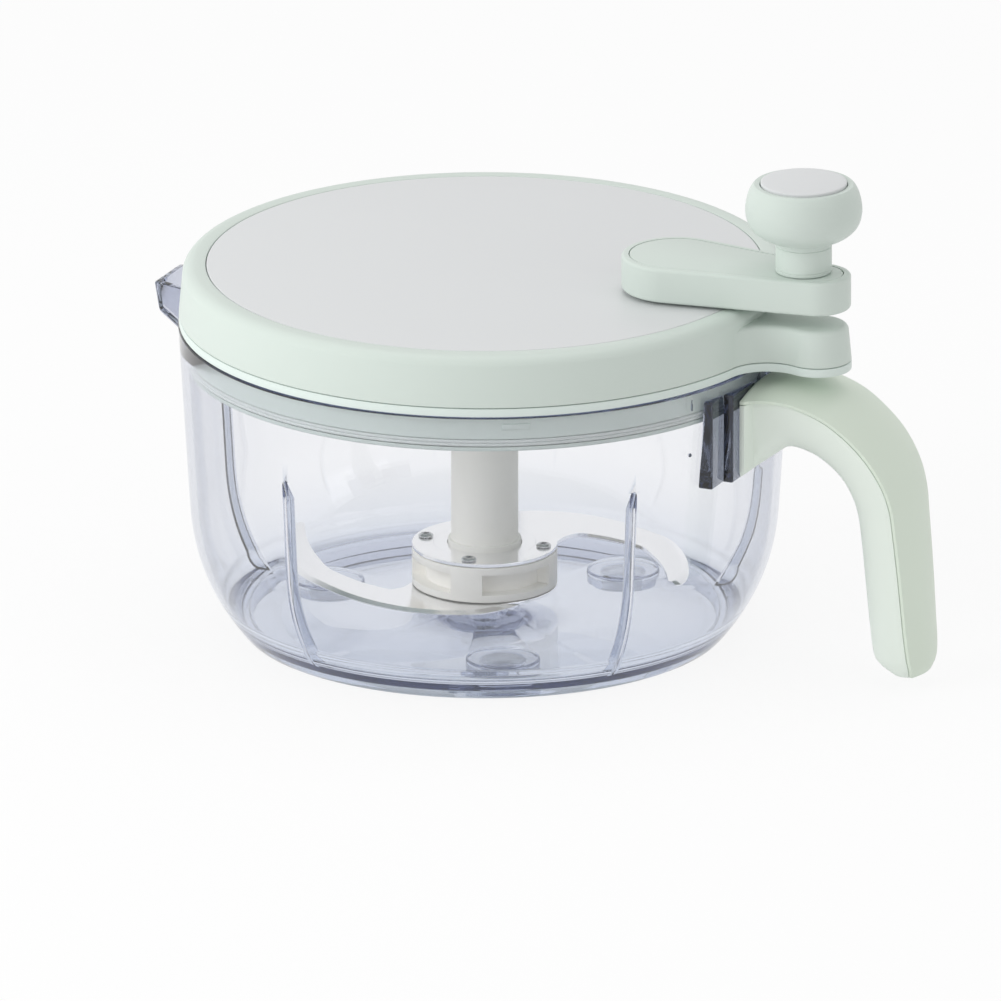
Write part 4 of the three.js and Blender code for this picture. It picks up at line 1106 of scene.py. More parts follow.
    def spout_wedge(self, inset: float, top: float, corner: float) -> Piece:
        """Flared wedge of the spout, whose end leans in towards its foot.

        Args:
            inset: Distance that its sides, end and floor lie inside the outside of the spout.
            top: Height of its top.
            corner: Radius of its lower corners.

        Returns:
            The closed mesh object.
        """
        wall, flare = self.wall, math.radians(self.spout_flare)
        root = wall.rim_radius - self.spout_root_inset
        mouth = wall.rim_radius + self.spout_projection - inset
        mouth_half = self.spout_mouth_width / 2 + inset * (math.tan(flare) - 1 / math.cos(flare))
        root_half = mouth_half + (mouth - root) * math.tan(flare)
        lip_top, end_height = wall.height + self.spout_lip_rise, self.spout_lip_rise + self.spout_mouth_depth
        rings = []
        for i in range(self.spout_steps + 1):
            share = i / self.spout_steps
            half = root_half + (mouth_half - root_half) * share
            depth = self.spout_root_depth + (self.spout_mouth_depth - self.spout_root_depth) * share
            low = wall.height - depth + inset
            section = [(half, top), *arc((half - corner, low + corner), corner, 0, -90, MORE)]
            section += [*arc((corner - half, low + corner), corner, -90, -180, MORE), (-half, top)]
            ring = []
            for y, z in section:
                lean = share * min(1.0, (lip_top - z) / end_height)
                narrow = 1 - self.spout_end_taper * max(0.0, lean) / half
                reach = root + (mouth - root) * share - self.spout_end_lean * lean
                ring.append(Vector((-reach, y * narrow, z)))
            rings.append(ring)
        return loft("spout_wedge", rings)

    def spout(self) -> Piece:
        """Outside of the spout, cut clear of the lid's bulge above the rim.

        Returns:
            The closed mesh object.
        """
        lip_top = self.wall.height + self.spout_lip_rise
        body = bevelled(self.spout_wedge(0, lip_top, self.spout_corner), self.spout_edge, CREASE_DEGREES, FEW)
        under_cap = round_bar("under_cap", self.cap_radius, self.wall.height, lip_top + OVERRUN, FINE_STEPS)
        return combine(body, [shifted(under_cap, self.cap_x, 0)], Operation.DIFFERENCE)

    def pad(self, half: float, face: float) -> Piece:
        """Block of the handle pad.

        Args:
            half: Its half width.
            face: X of its outer face.

        Returns:
            The closed mesh object.
        """
        low = (self.pad_face - self.pad_root, -half, self.pad_low)
        return bevelled(box_between("pad", low, (face, half, self.pad_high)), self.pad_edge, steps=3)

    def rib(self) -> Piece:
        """One rib on the wall at angle zero, with a rounded inner edge and a pointed top.

        Returns:
            The closed mesh object.
        """
        low = self.floor_top - self.floor_thickness / 2
        shoulder = self.rib_top - self.rib_point
        half, edge = self.rib_thickness / 2, self.rib_edge
        heights = [low + (shoulder - low) * i / self.rib_steps for i in range(self.rib_steps + 1)]
        tips = range(1, self.rib_point_steps - 1)
        heights += [shoulder + self.rib_point * i / self.rib_point_steps for i in tips]
        rings = []
        for z in heights:
            share = max(0.0, 1 - (z - self.floor_top) / self.wall.curve_height)
            depth = self.rib_depth * (1 + self.rib_foot_growth * share**2)
            if z > shoulder:
                depth -= (z - shoulder) / self.rib_point * (self.rib_depth + self.rib_bury)
            tip, root = self.wall.inner(z) - depth, self.wall.inner(z) + self.rib_bury
            section = [(root, -half), (root, half), *rounded(tip, half, edge, 90, FEW)]
            rings.append(at_height(section + rounded(tip, -half, edge, 180, FEW), z))
        return loft("rib", rings)

    def mark(self) -> list[Piece]:
        """Raised dot and line on the wall that show how to place the lid.

        Returns:
            Two closed mesh objects.
        """
        radius, sunk, side = self.mark_dot_radius, self.mark_sunk, self.mark_dot_side
        dome = arc((0, side), radius, *self.mark_dot_arc, SOME)
        profile = [(0, -sunk), (radius, -sunk), (radius, side), *dome, (0, self.mark_dot_top)]
        dot = lathe("mark_dot", profile, self.mark_dot_steps)
        dot.data.transform(Matrix.Rotation(math.pi / 2, MATRIX_SIZE, "Y"))
        shifted(dot, self.wall.outer(self.mark_dot_height), 0, self.mark_dot_height)
        face = self.wall.outer((self.mark_line_low + self.mark_line_high) / 2)
        half = self.mark_line_width / 2
        low = (face - sunk, -half, self.mark_line_low)
        high = (face + self.mark_rise, half, self.mark_line_high)
        line = bevelled(box_between("mark_line", low, high), self.mark_line_edge)
        return [turned(dot, self.mark_angle), turned(line, self.mark_angle)]

    def on_feet(self, name: str, master: Piece, finish: Finish = CLEAR) -> Piece:
        """Set copies of a master on the circle of the feet."""
        return ring_of_copies(name, master, finish, self.foot_count, self.foot_circle, SPOUT_ANGLE)

    def bosses(self) -> list[Piece]:
        """Blocks on the floor that carry the foot pads and the pin.

        Returns:
            One closed mesh object for the feet and one for the pin.
        """
        low, top = self.foot_boss_low, self.floor_top + self.foot_boss_rise
        radius, chamfer = self.foot_boss_radius, self.foot_boss_chamfer
        foot = [(0, low), (radius - chamfer, low), (radius, low + chamfer)]
        foot += [*rounded(radius, top, self.foot_boss_edge, 0, MORE), (0, top)]
        low, radius = self.floor_top - self.floor_thickness / 2, self.pin_boss_radius
        top = self.floor_top + self.pin_boss_rise
        pin = [(0, low), (radius, low), *rounded(radius, top, self.pin_boss_edge, 0), (0, top)]
        feet = self.on_feet("foot_bosses", lathe("foot_boss", foot, SMALL_STEPS))
        return [feet, lathe("pin_boss", pin, SMALL_STEPS)]

    def build(self) -> Piece:
        """Build the bowl in one piece.

        Returns:
            The finished mesh object.
        """
        body = self.filled_body()
        pads = [
            self.pad(self.pad_half_width, self.pad_face - self.pad_step),
            self.pad(self.pad_seat_half_width, self.pad_face),
        ]
        combine(body, [self.spout(), *pads], Operation.UNION)
        channel_top = self.wall.height + self.spout_lip_rise + OVERRUN
        channel = self.spout_wedge(self.spout_wall, channel_top, self.spout_corner - self.spout_edge)
        combine(body, [self.hollow(), channel], Operation.DIFFERENCE)
        ribs = ring_of_copies("ribs", self.rib(), CLEAR, self.rib_count, 0, SPOUT_ANGLE)
        combine(body, [ribs, *self.bosses(), *self.mark()], Operation.UNION)

        pin_top = self.floor_top + self.pin_boss_rise + OVERRUN
        recess_radius, recess_top = self.foot_pad_radius + FIT_GAP, self.foot_boss_low + self.foot_recess
        slot_half = self.tongue_half_width + FIT_GAP
        slot_low = (self.pad_face - self.tongue_depth - FIT_GAP, -slot_half, self.pad_low - OVERRUN)
        slot_high = (self.pad_face + OVERRUN, slot_half, self.tongue_top + FIT_GAP)
        cutters = [
            round_bar("pin_hole", self.pin_hole_radius, self.pin_hole_floor, pin_top),
            self.on_feet("recesses", round_bar("recess", recess_radius, -OVERRUN, recess_top)),
            box_between("tongue_slot", slot_low, slot_high),
        ]
        return smooth(combine(body, cutters, Operation.DIFFERENCE))

    def build_foot_pads(self) -> Piece:
        """Build the three soft pads under the bowl.

        Returns:
            The mesh object with all the pads.
        """
        radius, low = self.foot_pad_radius, -self.foot_pad_drop
        top = self.foot_boss_low + self.foot_recess - FIT_GAP
        hollow, (floor_share, lip_share) = low + self.foot_pad_hollow, self.foot_pad_hollow_shares
        profile = [(0, hollow), (radius * floor_share, hollow), (radius * lip_share, low)]
        profile += rounded(radius, low, self.foot_pad_edge, -90, MORE)
        profile += [*rounded(radius, top, self.foot_pad_top_edge, 0, FEW), (0, top)]
        return self.on_feet("foot_pads", smooth(lathe("foot_pad", profile, SMALL_STEPS)), FOOT_SILICONE)

    def dress(self) -> None:
        """Build the bowl and its pads and put them on the base."""
        install(self.build(), Body.BASE, "clear_bowl", CLEAR, "bowl")
        pads = numbered("foot_pad", self.foot_count)
        install(self.build_foot_pads(), Body.BASE, "silicone", FOOT_SILICONE, *pads)


@dataclass
class Handle:
    """Side handle: an inner grip with rounded corners and a crowned outer cover."""

    root_x: float = 106.5
    low: float = 3.8
    crown: float = 2.98
    crown_share: float = 0.235
    cover_edge: float = 1.1
    tongue_half_width: float = 5.0
    tongue_low: float = 75.0
    tongue_high: float = 93.0
    tongue_face: float = 104.6
    tongue_root: float = 108.2
    station_steps: int = 7
    flange_rows: int = 2
    corner_steps: int = 10
    corner_stretch: float = 2.0
    corner_share: float = 0.85
    ledge_share: float = 0.5
    crown_steps: int = 22
    grip_edge: float = 0.35
    cover_seam_edge: float = 0.3
    tongue_edge: float = 0.3
    # Each row: outer edge X and Z, inner edge X and Z, half width, corner radius, draw-in of the side
    stations: tuple[tuple[float, ...], ...] = (
        (106.5, 100.2, 106.5, 73.6, 22.3, 1.43, 0),
        (108.4, 100.4, 108.4, 75.0, 22.3, 1.43, 0),
        (109.4, 100.5, 109.4, 75.8, 21.0, 2.93, 4.0),
        (116.7, 101.2, 116.0, 80.7, 20.5, 5.2, 2.9),
        (125.2, 100.5, 121.5, 84.2, 19.8, 6.5, 1.3),
        (135.1, 97.3, 129.3, 83.1, 19.1, 6.5, 0.5),
        (143.4, 92.1, 135.2, 80.1, 18.3, 6.5, 0),
        (151.0, 85.0, 140.6, 75.2, 17.7, 6.5, 0),
        (156.8, 76.3, 144.0, 69.0, 16.6, 6.5, 0),
        (160.0, 67.2, 145.9, 62.0, 15.5, 6.5, 0),
        (161.4, 56.1, 147.0, 51.9, 14.7, 6.5, 0),
        (163.1, 39.0, 148.2, 37.0, 13.9, 6.5, 0),
        (164.5, 22.0, 149.4, 22.4, 13.1, 6.5, 0),
        (165.4, 12.5, 150.8, 11.0, 12.3, 6.5, 0),
        (165.7, 7.6, 153.6, 6.8, 10.9, 6.5, 0),
        (165.0, 4.2, 158.4, 3.8, 8.6, 6.5, 0),
    )

    def fine_stations(self) -> list[tuple[Vector, Vector, float, float, float]]:
        """Inner edge, way across to the outer edge, half width, corner radius and draw-in of the side.

        Returns:
            One row per fine station, the flange at the root first.
        """
        rows = []
        swept = catmull(self.stations[self.flange_rows :], self.station_steps)
        flange = self.stations[: self.flange_rows]
        for outer_x, outer_z, inner_x, inner_z, half, corner, draw in [*flange, *swept]:
            outer = Vector((max(outer_x, self.root_x), 0, max(outer_z, self.low)))
            inner = Vector((max(inner_x, self.root_x), 0, max(inner_z, self.low)))
            rows.append((inner, outer - inner, half, corner, max(0.0, draw)))
        return rows

    def build_grip(self) -> Piece:
        """Build the grip with the tongue that slides into the bowl's pad.

        Returns:
            The finished mesh object.
        """
        rings = []
        for inner, across, half, corner, draw in self.fine_stations():
            depth, along = across.length - FIT_GAP, across.normalized()
            corner = min(corner, depth / 2, half / 2)
            round_depth = min(corner * self.corner_stretch, depth * self.corner_share)
            ledge = half - draw * self.ledge_share
            section = [(ledge, depth), (-ledge, depth)]
            swings = quarter(self.corner_steps)
            for side, turns in ((-1, swings), (1, [math.pi / 2 - turn for turn in swings])):
                for turn in turns:
                    width = half - draw - corner * (1 - math.cos(turn))
                    section.append((side * width, round_depth * (1 - math.sin(turn))))
            rings.append([inner + along * d + Vector((0, y, 0)) for y, d in section])
        grip = bevelled(loft("handle_grip", rings), self.grip_edge, CREASE_DEGREES)
        low = (self.tongue_face, -self.tongue_half_width, self.tongue_low)
        high = (self.tongue_root, self.tongue_half_width, self.tongue_high)
        tongue = bevelled(box_between("tongue", low, high), self.tongue_edge)
        return smooth(combine(grip, [tongue], Operation.UNION))

    def build_cover(self) -> Piece:
        """Build the crowned cover.

        Returns:
            The finished mesh object.
        """
        rings = []
        for inner, across, half, _, _ in self.fine_stations():
            base, along = across.length, across.normalized()
            crown = min(self.crown, half * self.crown_share)
            section = [(half, base), (-half, base)]
            for i in range(self.crown_steps + 1):
                share = -math.cos(math.pi * i / self.crown_steps)
                section.append((half * share, base + self.cover_edge + crown * (1 - share**2)))
            rings.append([inner + along * d + Vector((0, y, 0)) for y, d in section])
        return smooth(bevelled(loft("handle_cover", rings), self.cover_seam_edge, CREASE_DEGREES))

    def dress(self) -> None:
        """Build both halves and put them on the base."""
        # Grip and cover take mint drawn lighter than the housings: painted light
        install(self.build_grip(), Body.BASE, "mint_plastic", LIT_GRIP_MINT, "handle_grip")
        install(self.build_cover(), Body.BASE, "mint_plastic", LIT_HANDLE_MINT, "handle_cover")


@dataclass
class BladeAssembly:
    """Hub that turns on the pin, with two curved blades riveted to its drum."""

    floor_top: float = 7.0
    floor_gap: float = 6.3
    sheet: float = 1.2
    drum_radius: float = 25.3
    drum_height: float = 13.0
    drum_rim: float = 2.8
    drum_edge: float = 0.5
    window_depth: float = 4.6
    pillar_half_angle: float = 13.0
    tube_radius: float = 11.7
    tube_top: float = 99.5
    tube_edge: float = 0.9
    tube_edge_steps: int = 6
    step_width: float = 1.1
    step_height: float = 1.8
    bore_radius: float = 4.3
    bore_top: float = 70.3
    socket_floor: float = 83.5
    socket_flat_radius: float = 4.8
    rivet_count: int = 4
    rivet_first_angle: float = 9.0
    rivet_circle: float = 21.2
    rivet_shank: float = 1.6
    rivet_head: float = 2.6
    rivet_head_height: float = 0.9
    ring_line_radius: float = 17.8
    ring_line_width: float = 0.7
    ring_line_depth: float = 0.3
    blade_reach: float = 80.8
    bend_reach: float = 8.0
    lower_rise: float = 7.5
    bevel_width: float = 2.4
    edge_share: float = 0.2
    station_steps: int = 8
    hub_edge: float = 0.3
    step_fillet: float = 0.4
    plate_edge: float = 0.15
    blade_sharp_degrees: float = 14.0
    rivet_edge: float = 0.3
    rivet_dome: tuple[tuple[float, float], ...] = ((1, 0.35), (0.94, 0.6), (0.8, 0.85), (0.6, 1))
    star_points: int = 6
    star_shares: tuple[float, float] = (0.62, 0.36)
    star_floor_share: float = 0.3
    window_steps: int = 24
    rivet_hole_steps: int = 24
    # Each row: angle and share of the reach, for the ground edge and then for the other edge
    stations: tuple[tuple[float, float, float, float], ...] = (
        (150, 0.297, 10, 0.29),
        (128, 0.353, 24, 0.312),
        (100, 0.446, 35, 0.353),
        (76, 0.545, 39, 0.421),
        (56, 0.637, 33, 0.507),
        (40.2, 0.719, 26.5, 0.582),
        (29, 0.797, 19.3, 0.672),
        (17, 0.858, 11, 0.735),
        (6, 0.918, 4, 0.798),
        (-3.9, 0.981, -3.5, 0.873),
        (-8.5, 1, -8.6, 0.928),
        (-10.3, 0.985, -10.2, 0.947),
    )

    @property
    def lower_bottom(self) -> float:
        """Underside of the lower blade."""
        return self.floor_top + self.floor_gap

    @property
    def drum_bottom(self) -> float:
        """Underside of the drum."""
        return self.lower_bottom + self.sheet + FIT_GAP

    @property
    def drum_top(self) -> float:
        """Top of the drum."""
        return self.drum_bottom + self.drum_height

    @property
    def upper_bottom(self) -> float:
        """Underside of the upper blade."""
        return self.drum_top + FIT_GAP

    def on_rivets(self, name: str, master: Piece, finish: Finish = CREAM) -> Piece:
        """Set copies of a master on the circle of the rivets."""
        count, circle = self.rivet_count, self.rivet_circle
        return ring_of_copies(name, master, finish, count, circle, self.rivet_first_angle)

    def rivet_holes(self, low: float, high: float) -> Piece:
        """Cutters for the four rivet holes.

        Args:
            low: Lower end.
            high: Upper end.

        Returns:
            One mesh object with the four bars.
        """
        bar = round_bar("rivet_hole", self.rivet_shank + FIT_GAP, low, high, self.rivet_hole_steps)
        return self.on_rivets("rivet_holes", bar)

    def window(self) -> Piece:
        """Cutter for one window of the drum, at angle zero.

        Returns:
            The closed mesh object.
        """
        half = 180 / self.rivet_count - self.pillar_half_angle
        outline = arc((0, 0), self.drum_radius + OVERRUN, -half, half, self.window_steps)
        outline += arc((0, 0), self.drum_radius - self.window_depth, half, -half, self.window_steps)
        return prism("window", outline, self.drum_bottom + self.drum_rim, self.drum_top - self.drum_rim)

    def build_hub(self) -> Piece:
        """Build the drum and tube in one moulding.

        Returns:
            The finished mesh object.
        """
        low, top, edge, fillet = self.drum_bottom, self.drum_top, self.drum_edge, self.step_fillet
        step_radius = self.tube_radius + self.step_width
        step_top = self.upper_bottom + self.sheet + self.step_height
        profile = [(0, low), *rounded(self.drum_radius, low, edge, -90)]
        profile += [*rounded(self.drum_radius, top, edge, 0), (step_radius, top)]
        profile += rounded(step_radius, step_top, fillet, 0)
        profile += arc((self.tube_radius + fillet, step_top + fillet), fillet, 270, 180, SOME)
        profile += rounded(self.tube_radius, self.tube_top, self.tube_edge, 0, self.tube_edge_steps)
        profile.append((0, self.tube_top))
        hub = lathe("blade_hub", profile)
        first_window = self.rivet_first_angle + 180 / self.rivet_count
        socket_radius = self.socket_flat_radius / math.cos(math.pi / HEX_SIDES)
        cutters = [
            ring_of_copies("windows", self.window(), CREAM, self.rivet_count, 0, first_window),
            self.rivet_holes(low - OVERRUN, top + OVERRUN),
            round_bar("hub_bore", self.bore_radius, low - OVERRUN, self.bore_top),
            round_bar("hub_socket", socket_radius, self.socket_floor, self.tube_top + OVERRUN, HEX_SIDES),
        ]
        combine(hub, cutters, Operation.DIFFERENCE)
        return smooth(bevelled(hub, self.hub_edge, CREASE_DEGREES))

    def build_blade(self, name: str, bottom: float, rise: float, turn: float) -> Piece:
        """Build one blade with its ring, ground along its outer edge.

        Args:
            name: Piece name.
            bottom: Height of its underside.
            rise: Climb of the arm from the bend to the tip.
            turn: Angle that it is turned by, in degrees.

        Returns:
            The finished mesh object.
        """
        bend, top, up = self.drum_radius + self.bend_reach, bottom + self.sheet, Vector((0, 0, self.sheet))
        rings = []
        for back_angle, back_share, front_angle, front_share in catmull(self.stations, self.station_steps):
            corners = []
            for angle, share in ((back_angle, back_share), (front_angle, front_share)):
                radius = self.blade_reach * min(1.0, share)
                climb = rise * max(0.0, radius - bend) / (self.blade_reach - bend)
                across = math.radians(angle + turn)
                corners.append(Vector((radius * math.cos(across), radius * math.sin(across), bottom + climb)))
            back, front = corners
            width = (front - back).length
            bevel = back.lerp(front, min(self.bevel_width, width / 2) / width)
            rings.append([back, back + up * self.edge_share, bevel + up, front + up, front])
        blade = loft(name, rings)
        flip_if_inside_out(blade)
        plate = [(0, bottom), *rounded(self.drum_radius, bottom, self.plate_edge, -90, 2)]
        plate += [*rounded(self.drum_radius, top, self.plate_edge, 0, 2), (0, top)]
        combine(blade, [lathe("blade_ring", plate)], Operation.UNION)
        hole_radius = self.tube_radius + self.step_width + FIT_GAP
        middle, half = self.ring_line_radius, self.ring_line_width / 2
        line = [(middle - half, top + OVERRUN), (middle, top - self.ring_line_depth)]
        line += [(middle + half, top + OVERRUN)]
        cutters = [
            round_bar("blade_hole", hole_radius, bottom - OVERRUN, top + OVERRUN, MEDIUM_STEPS),
            lathe("ring_line", line),
            self.rivet_holes(bottom - OVERRUN, top + OVERRUN),
        ]
        combine(blade, cutters, Operation.DIFFERENCE)
        return smooth(blade, math.radians(self.blade_sharp_degrees))

    def build_rivets(self) -> Piece:
        """Build the four rivets, whose upper heads have a star-shaped drive recess.

        Returns:
            The mesh object with all the rivets.
        """
        head, shank, rise = self.rivet_head, self.rivet_shank, self.rivet_head_height
        low = self.lower_bottom - FIT_GAP
        high = self.upper_bottom + self.sheet + FIT_GAP
        profile = [(0, low - rise), *rounded(head, low - rise, self.rivet_edge, -90, FEW)]
        profile += [(head, low), (shank, low), (shank, high), (head, high)]
        profile += [(head * across, high + rise * up) for across, up in self.rivet_dome]
        rivet = lathe("rivet", [*profile, (0, high + rise)], BAR_STEPS)
        star = []
        for i in range(2 * self.star_points):
            radius, turn = head * self.star_shares[i % 2], math.pi * i / self.star_points
            star.append((radius * math.cos(turn), radius * math.sin(turn)))
        recess = prism("rivet_star", star, high + rise * self.star_floor_share, high + rise + OVERRUN)
        smooth(combine(rivet, [recess], Operation.DIFFERENCE))
        return self.on_rivets("blade_rivets", rivet, PIN_STEEL)

    def dress(self) -> None:
        """Build the assembly and put it on the blades body."""
        install(self.build_hub(), Body.BLADES, "cream_plastic", CREAM, "blade_hub")
        upper = self.build_blade("upper_blade", self.upper_bottom, 0, 0)
        lower = self.build_blade("lower_blade", self.lower_bottom, self.lower_rise, 180)
        install(upper, Body.BLADES, "steel", BLADE_STEEL, "upper_blade")
        install(lower, Body.BLADES, "steel", BLADE_STEEL, "lower_blade")
        rivets = numbered("blade_rivet", self.rivet_count)
        install(self.build_rivets(), Body.BLADES, "steel", PIN_STEEL, *rivets)


@dataclass
class Lid:
    """Geared lid: base plate with its collar, rounded shell, top plate, seal and screws."""

    wall: BowlWall
    radius: float = 106.3
    bottom: float = 109.8
    strip_top: float = 112.8
    shell_bottom: float = 113.1
    top: float = 131.0
    edge: float = 0.35
    side_radius: float = 105.1
    side_top: float = 127.0
    shoulder_width: float = 4.8
    recess_radius: float = 97.0
    recess_floor: float = 128.7
    plate_radius: float = 96.7
    plate_bottom: float = 129.0
    plate_edge: float = 0.4
    cavity_radius: float = 102.5
    cavity_roof: float = 126.2
    lobe_centre: float = 126.3
    lobe_radius: float = 11.8
    lobe_fillet: float = 14.0
    lobe_top: float = 126.0
    lobe_edge: float = 2.0
    side_draft: float = 1.2
    cap_radius: float = 60.0
    cap_reach: float = 2.8
    cap_top: float = 124.0
    collar_radius: float = 102.61
    collar_wall: float = 2.2
    collar_bottom: float = 96.6
    groove_low: float = 98.1
    groove_high: float = 101.1
    groove_depth: float = 1.1
    seal_low: float = 98.4
    seal_high: float = 100.8
    seal_lip_share: float = 0.25
    seal_lip_turn: float = 60.0
    lug_count: int = 3
    lug_width: float = 9.8
    lug_low: float = 104.5
    lug_high: float = 106.7
    lug_reach: float = 0.6
    boss_radius: float = 8.0
    boss_top: float = 115.6
    roof_boss_bottom: float = 124.2
    roof_seat: float = 127.5
    axle_floor: float = 110.9
    axle_hole: float = 4.3
    shaft_hole: float = 5.3
    output_boss_radius: float = 14.2
    output_boss_bottom: float = 101.2
    output_hole: float = 10.8
    bush_hole: float = 9.8
    screw_count: int = 4
    screw_circle: float = 87.5
    screw_radius: float = 1.6
    screw_head: float = 3.4
    screw_head_height: float = 1.8
    screw_head_low: float = 109.95
    screw_length: float = 9.0
    screw_boss_radius: float = 4.6
    fillet_steps: int = 14
    lobe_steps: int = 40
    cap_steps: int = 180
    collar_inner_fillet: float = 1.0
    collar_outer_fillet: float = 0.8
    collar_edge: float = 0.5
    lug_edge: float = 0.4
    weld: float = 0.5
    shoulder_steps: int = 12
    screw_angle: float = 45.0
    screw_edge: float = 0.4
    screw_point: float = 1.0
    screw_point_share: float = 0.5
    cross_shares: tuple[float, float] = (0.62, 0.14)
    cross_depth: float = 1.0

    def lobe_outline(self) -> Outline:
        """Outline of the lobe over the handle, run back into the round of the lid.

        Returns:
            Anticlockwise points.
        """
        reach = self.radius + self.lobe_fillet
        span = self.lobe_radius + self.lobe_fillet
        fillet_x = (reach**2 - span**2 + self.lobe_centre**2) / (2 * self.lobe_centre)
        fillet_y = math.sqrt(reach**2 - fillet_x**2)
        lid_angle = math.degrees(math.atan2(fillet_y, fillet_x))
        lobe_angle = math.degrees(math.atan2(fillet_y, fillet_x - self.lobe_centre))
        root_x = self.cavity_radius * math.cos(math.radians(lid_angle))
        root_y = self.radius * math.sin(math.radians(lid_angle))
        outline = [(root_x, root_y), (root_x, -root_y)]
        lobe = arc((self.lobe_centre, 0), self.lobe_radius, -lobe_angle, lobe_angle, self.lobe_steps)
        fillet, steps = self.lobe_fillet, self.fillet_steps
        outline += arc((fillet_x, -fillet_y), fillet, 180 - lid_angle, 180 - lobe_angle, steps)
        outline += lobe[1:-1]
        outline += arc((fillet_x, fillet_y), fillet, lobe_angle - 180, lid_angle - 180, steps)
        return outline[:-1]

    def cap_outline(self) -> Outline:
        """Outline of the bulge over the spout, a circle that reaches past the round of the lid."""
        centre = self.cap_radius - self.radius - self.cap_reach
        return arc((centre, 0), self.cap_radius, 0, 360, self.cap_steps)[:-1]

    def at(self, piece: Piece, node: str) -> Piece:
        """Move a piece from the origin to the axis of a CAD node."""
        return shifted(piece, *axis_of(node))

    def on_screws(self, name: str, master: Piece, finish: Finish = MINT) -> Piece:
        """Set copies of a master on the circle of the lid screws."""
        return ring_of_copies(name, master, finish, self.screw_count, self.screw_circle, self.screw_angle)

    def screw_ring(self, name: str, radius: float, low: float, high: float) -> Piece:
        """Bars on the circle of the lid screws.

        Args:
            name: Piece name.
            radius: Radius of a bar.
            low: Lower end.
            high: Upper end.

        Returns:
            One mesh object with a bar for each screw.
        """
        return self.on_screws(name, round_bar(name + "_bar", radius, low, high, BAR_STEPS))

    def build_base(self) -> Piece:
        """Build the plate that closes the lid from below, with its collar, lugs and bosses.

        Returns:
            The finished mesh object.
        """
        inner, outer, boss = self.collar_radius - self.collar_wall, self.collar_radius, self.boss_radius
        edge, low, high, groove = self.edge, self.bottom, self.strip_top, outer - self.groove_depth
        fillet_in, fillet_out = self.collar_inner_fillet, self.collar_outer_fillet
        profile = [(0, low), (inner - fillet_in, low)]
        profile += arc((inner - fillet_in, low - fillet_in), fillet_in, 90, 0, SOME)
        profile += rounded(inner, self.collar_bottom, self.collar_edge, 180)
        profile += rounded(outer, self.collar_bottom, self.collar_edge, 270)
        profile += [(outer, self.groove_low), (groove, self.groove_low), (groove, self.groove_high)]
        profile += [(outer, self.groove_high), (outer, low - fillet_out)]
        profile += arc((outer + fillet_out, low - fillet_out), fillet_out, 180, 90, SOME)
        profile += [*rounded(self.radius, low, edge, -90), *rounded(self.radius, high, edge, 0), (0, high)]
        base = lathe("lid_base", profile, FINE_STEPS)
        half = self.lug_width / 2
        lug_low = (outer - self.collar_wall / 2, -half, self.lug_low)
        lug_high = (outer + self.lug_reach, half, self.lug_high)
        lug = bevelled(box_between("lug", lug_low, lug_high), self.lug_edge)
        output_low, output_top = self.output_boss_bottom, high - self.weld
        parts = [
            soft_prism("base_lobe", self.lobe_outline(), low, high, (edge, edge), FEW),
            soft_prism("base_cap", self.cap_outline(), low, high, (edge, edge), FEW),
            ring_of_copies("lugs", lug, MINT, self.lug_count, 0, SPOUT_ANGLE),
            round_bar("output_boss", self.output_boss_radius, output_low, output_top, MEDIUM_STEPS),
            self.at(round_bar("idler_boss", boss, low + self.weld, self.boss_top), "idler_axle"),
            self.at(round_bar("crank_boss", boss, low + self.weld, self.boss_top), "crank_bush"),
        ]
        combine(base, parts, Operation.UNION)
        above, below = self.boss_top + OVERRUN, low - OVERRUN
        head_room = low + self.screw_head_height + FIT_GAP
        cutters = [
            round_bar("output_hole", self.output_hole, output_low - OVERRUN, above),
            self.at(round_bar("idler_hole", self.axle_hole, self.axle_floor, above), "idler_axle"),
            self.at(round_bar("crank_hole", self.shaft_hole, self.axle_floor, above), "crank_bush"),
            self.screw_ring("screw_holes", self.screw_radius + FIT_GAP, below, above),
            self.screw_ring("screw_heads", self.screw_head + FIT_GAP, below, head_room),
        ]
        return smooth(combine(base, cutters, Operation.DIFFERENCE))

    def build_shell(self) -> Piece:
        """Build the rounded housing with the lobe, the bulge and the recess for the top plate.

        Returns:
            The finished mesh object.
        """
        edge, low, top = self.edge, self.shell_bottom, self.top
        profile = [(0, self.cavity_roof), (self.cavity_radius, self.cavity_roof), (self.cavity_radius, low)]
        profile += rounded(self.radius, low, edge, -90)
        for turn in quarter(self.shoulder_steps):
            radius = self.side_radius - self.shoulder_width * (1 - math.cos(turn))
            profile.append((radius, self.side_top + (top - self.side_top) * math.sin(turn)))
        profile += rounded(self.recess_radius, top, edge, 90)
        profile += [(self.recess_radius, self.recess_floor), (0, self.recess_floor)]
        shell = lathe("lid_shell", profile, FINE_STEPS)
        edges, draft = (edge, self.lobe_edge), self.side_draft
        lobe = soft_prism("shell_lobe", self.lobe_outline(), low, self.lobe_top, edges, draft=draft)
        cap = soft_prism("shell_cap", self.cap_outline(), low, self.cap_top, edges, draft=draft)
        cavity = round_bar("cavity", self.cavity_radius, low - OVERRUN, self.cavity_roof, FINE_STEPS)
        combine(lobe, [cap], Operation.UNION)
        combine(lobe, [cavity], Operation.DIFFERENCE)
        combine(shell, [lobe], Operation.UNION)
        roof, boss = self.cavity_roof + self.weld, self.boss_radius
        bosses = [
            round_bar("pin_roof_boss", boss, self.roof_boss_bottom, roof),
            self.at(round_bar("axle_roof_boss", boss, self.roof_boss_bottom, roof), "idler_axle"),
            self.screw_ring("screw_bosses", self.screw_boss_radius, low, roof),
        ]
        combine(shell, bosses, Operation.UNION)
        below = self.roof_boss_bottom - OVERRUN
        screw_top = self.bottom + self.screw_head_height + self.screw_length + FIT_GAP
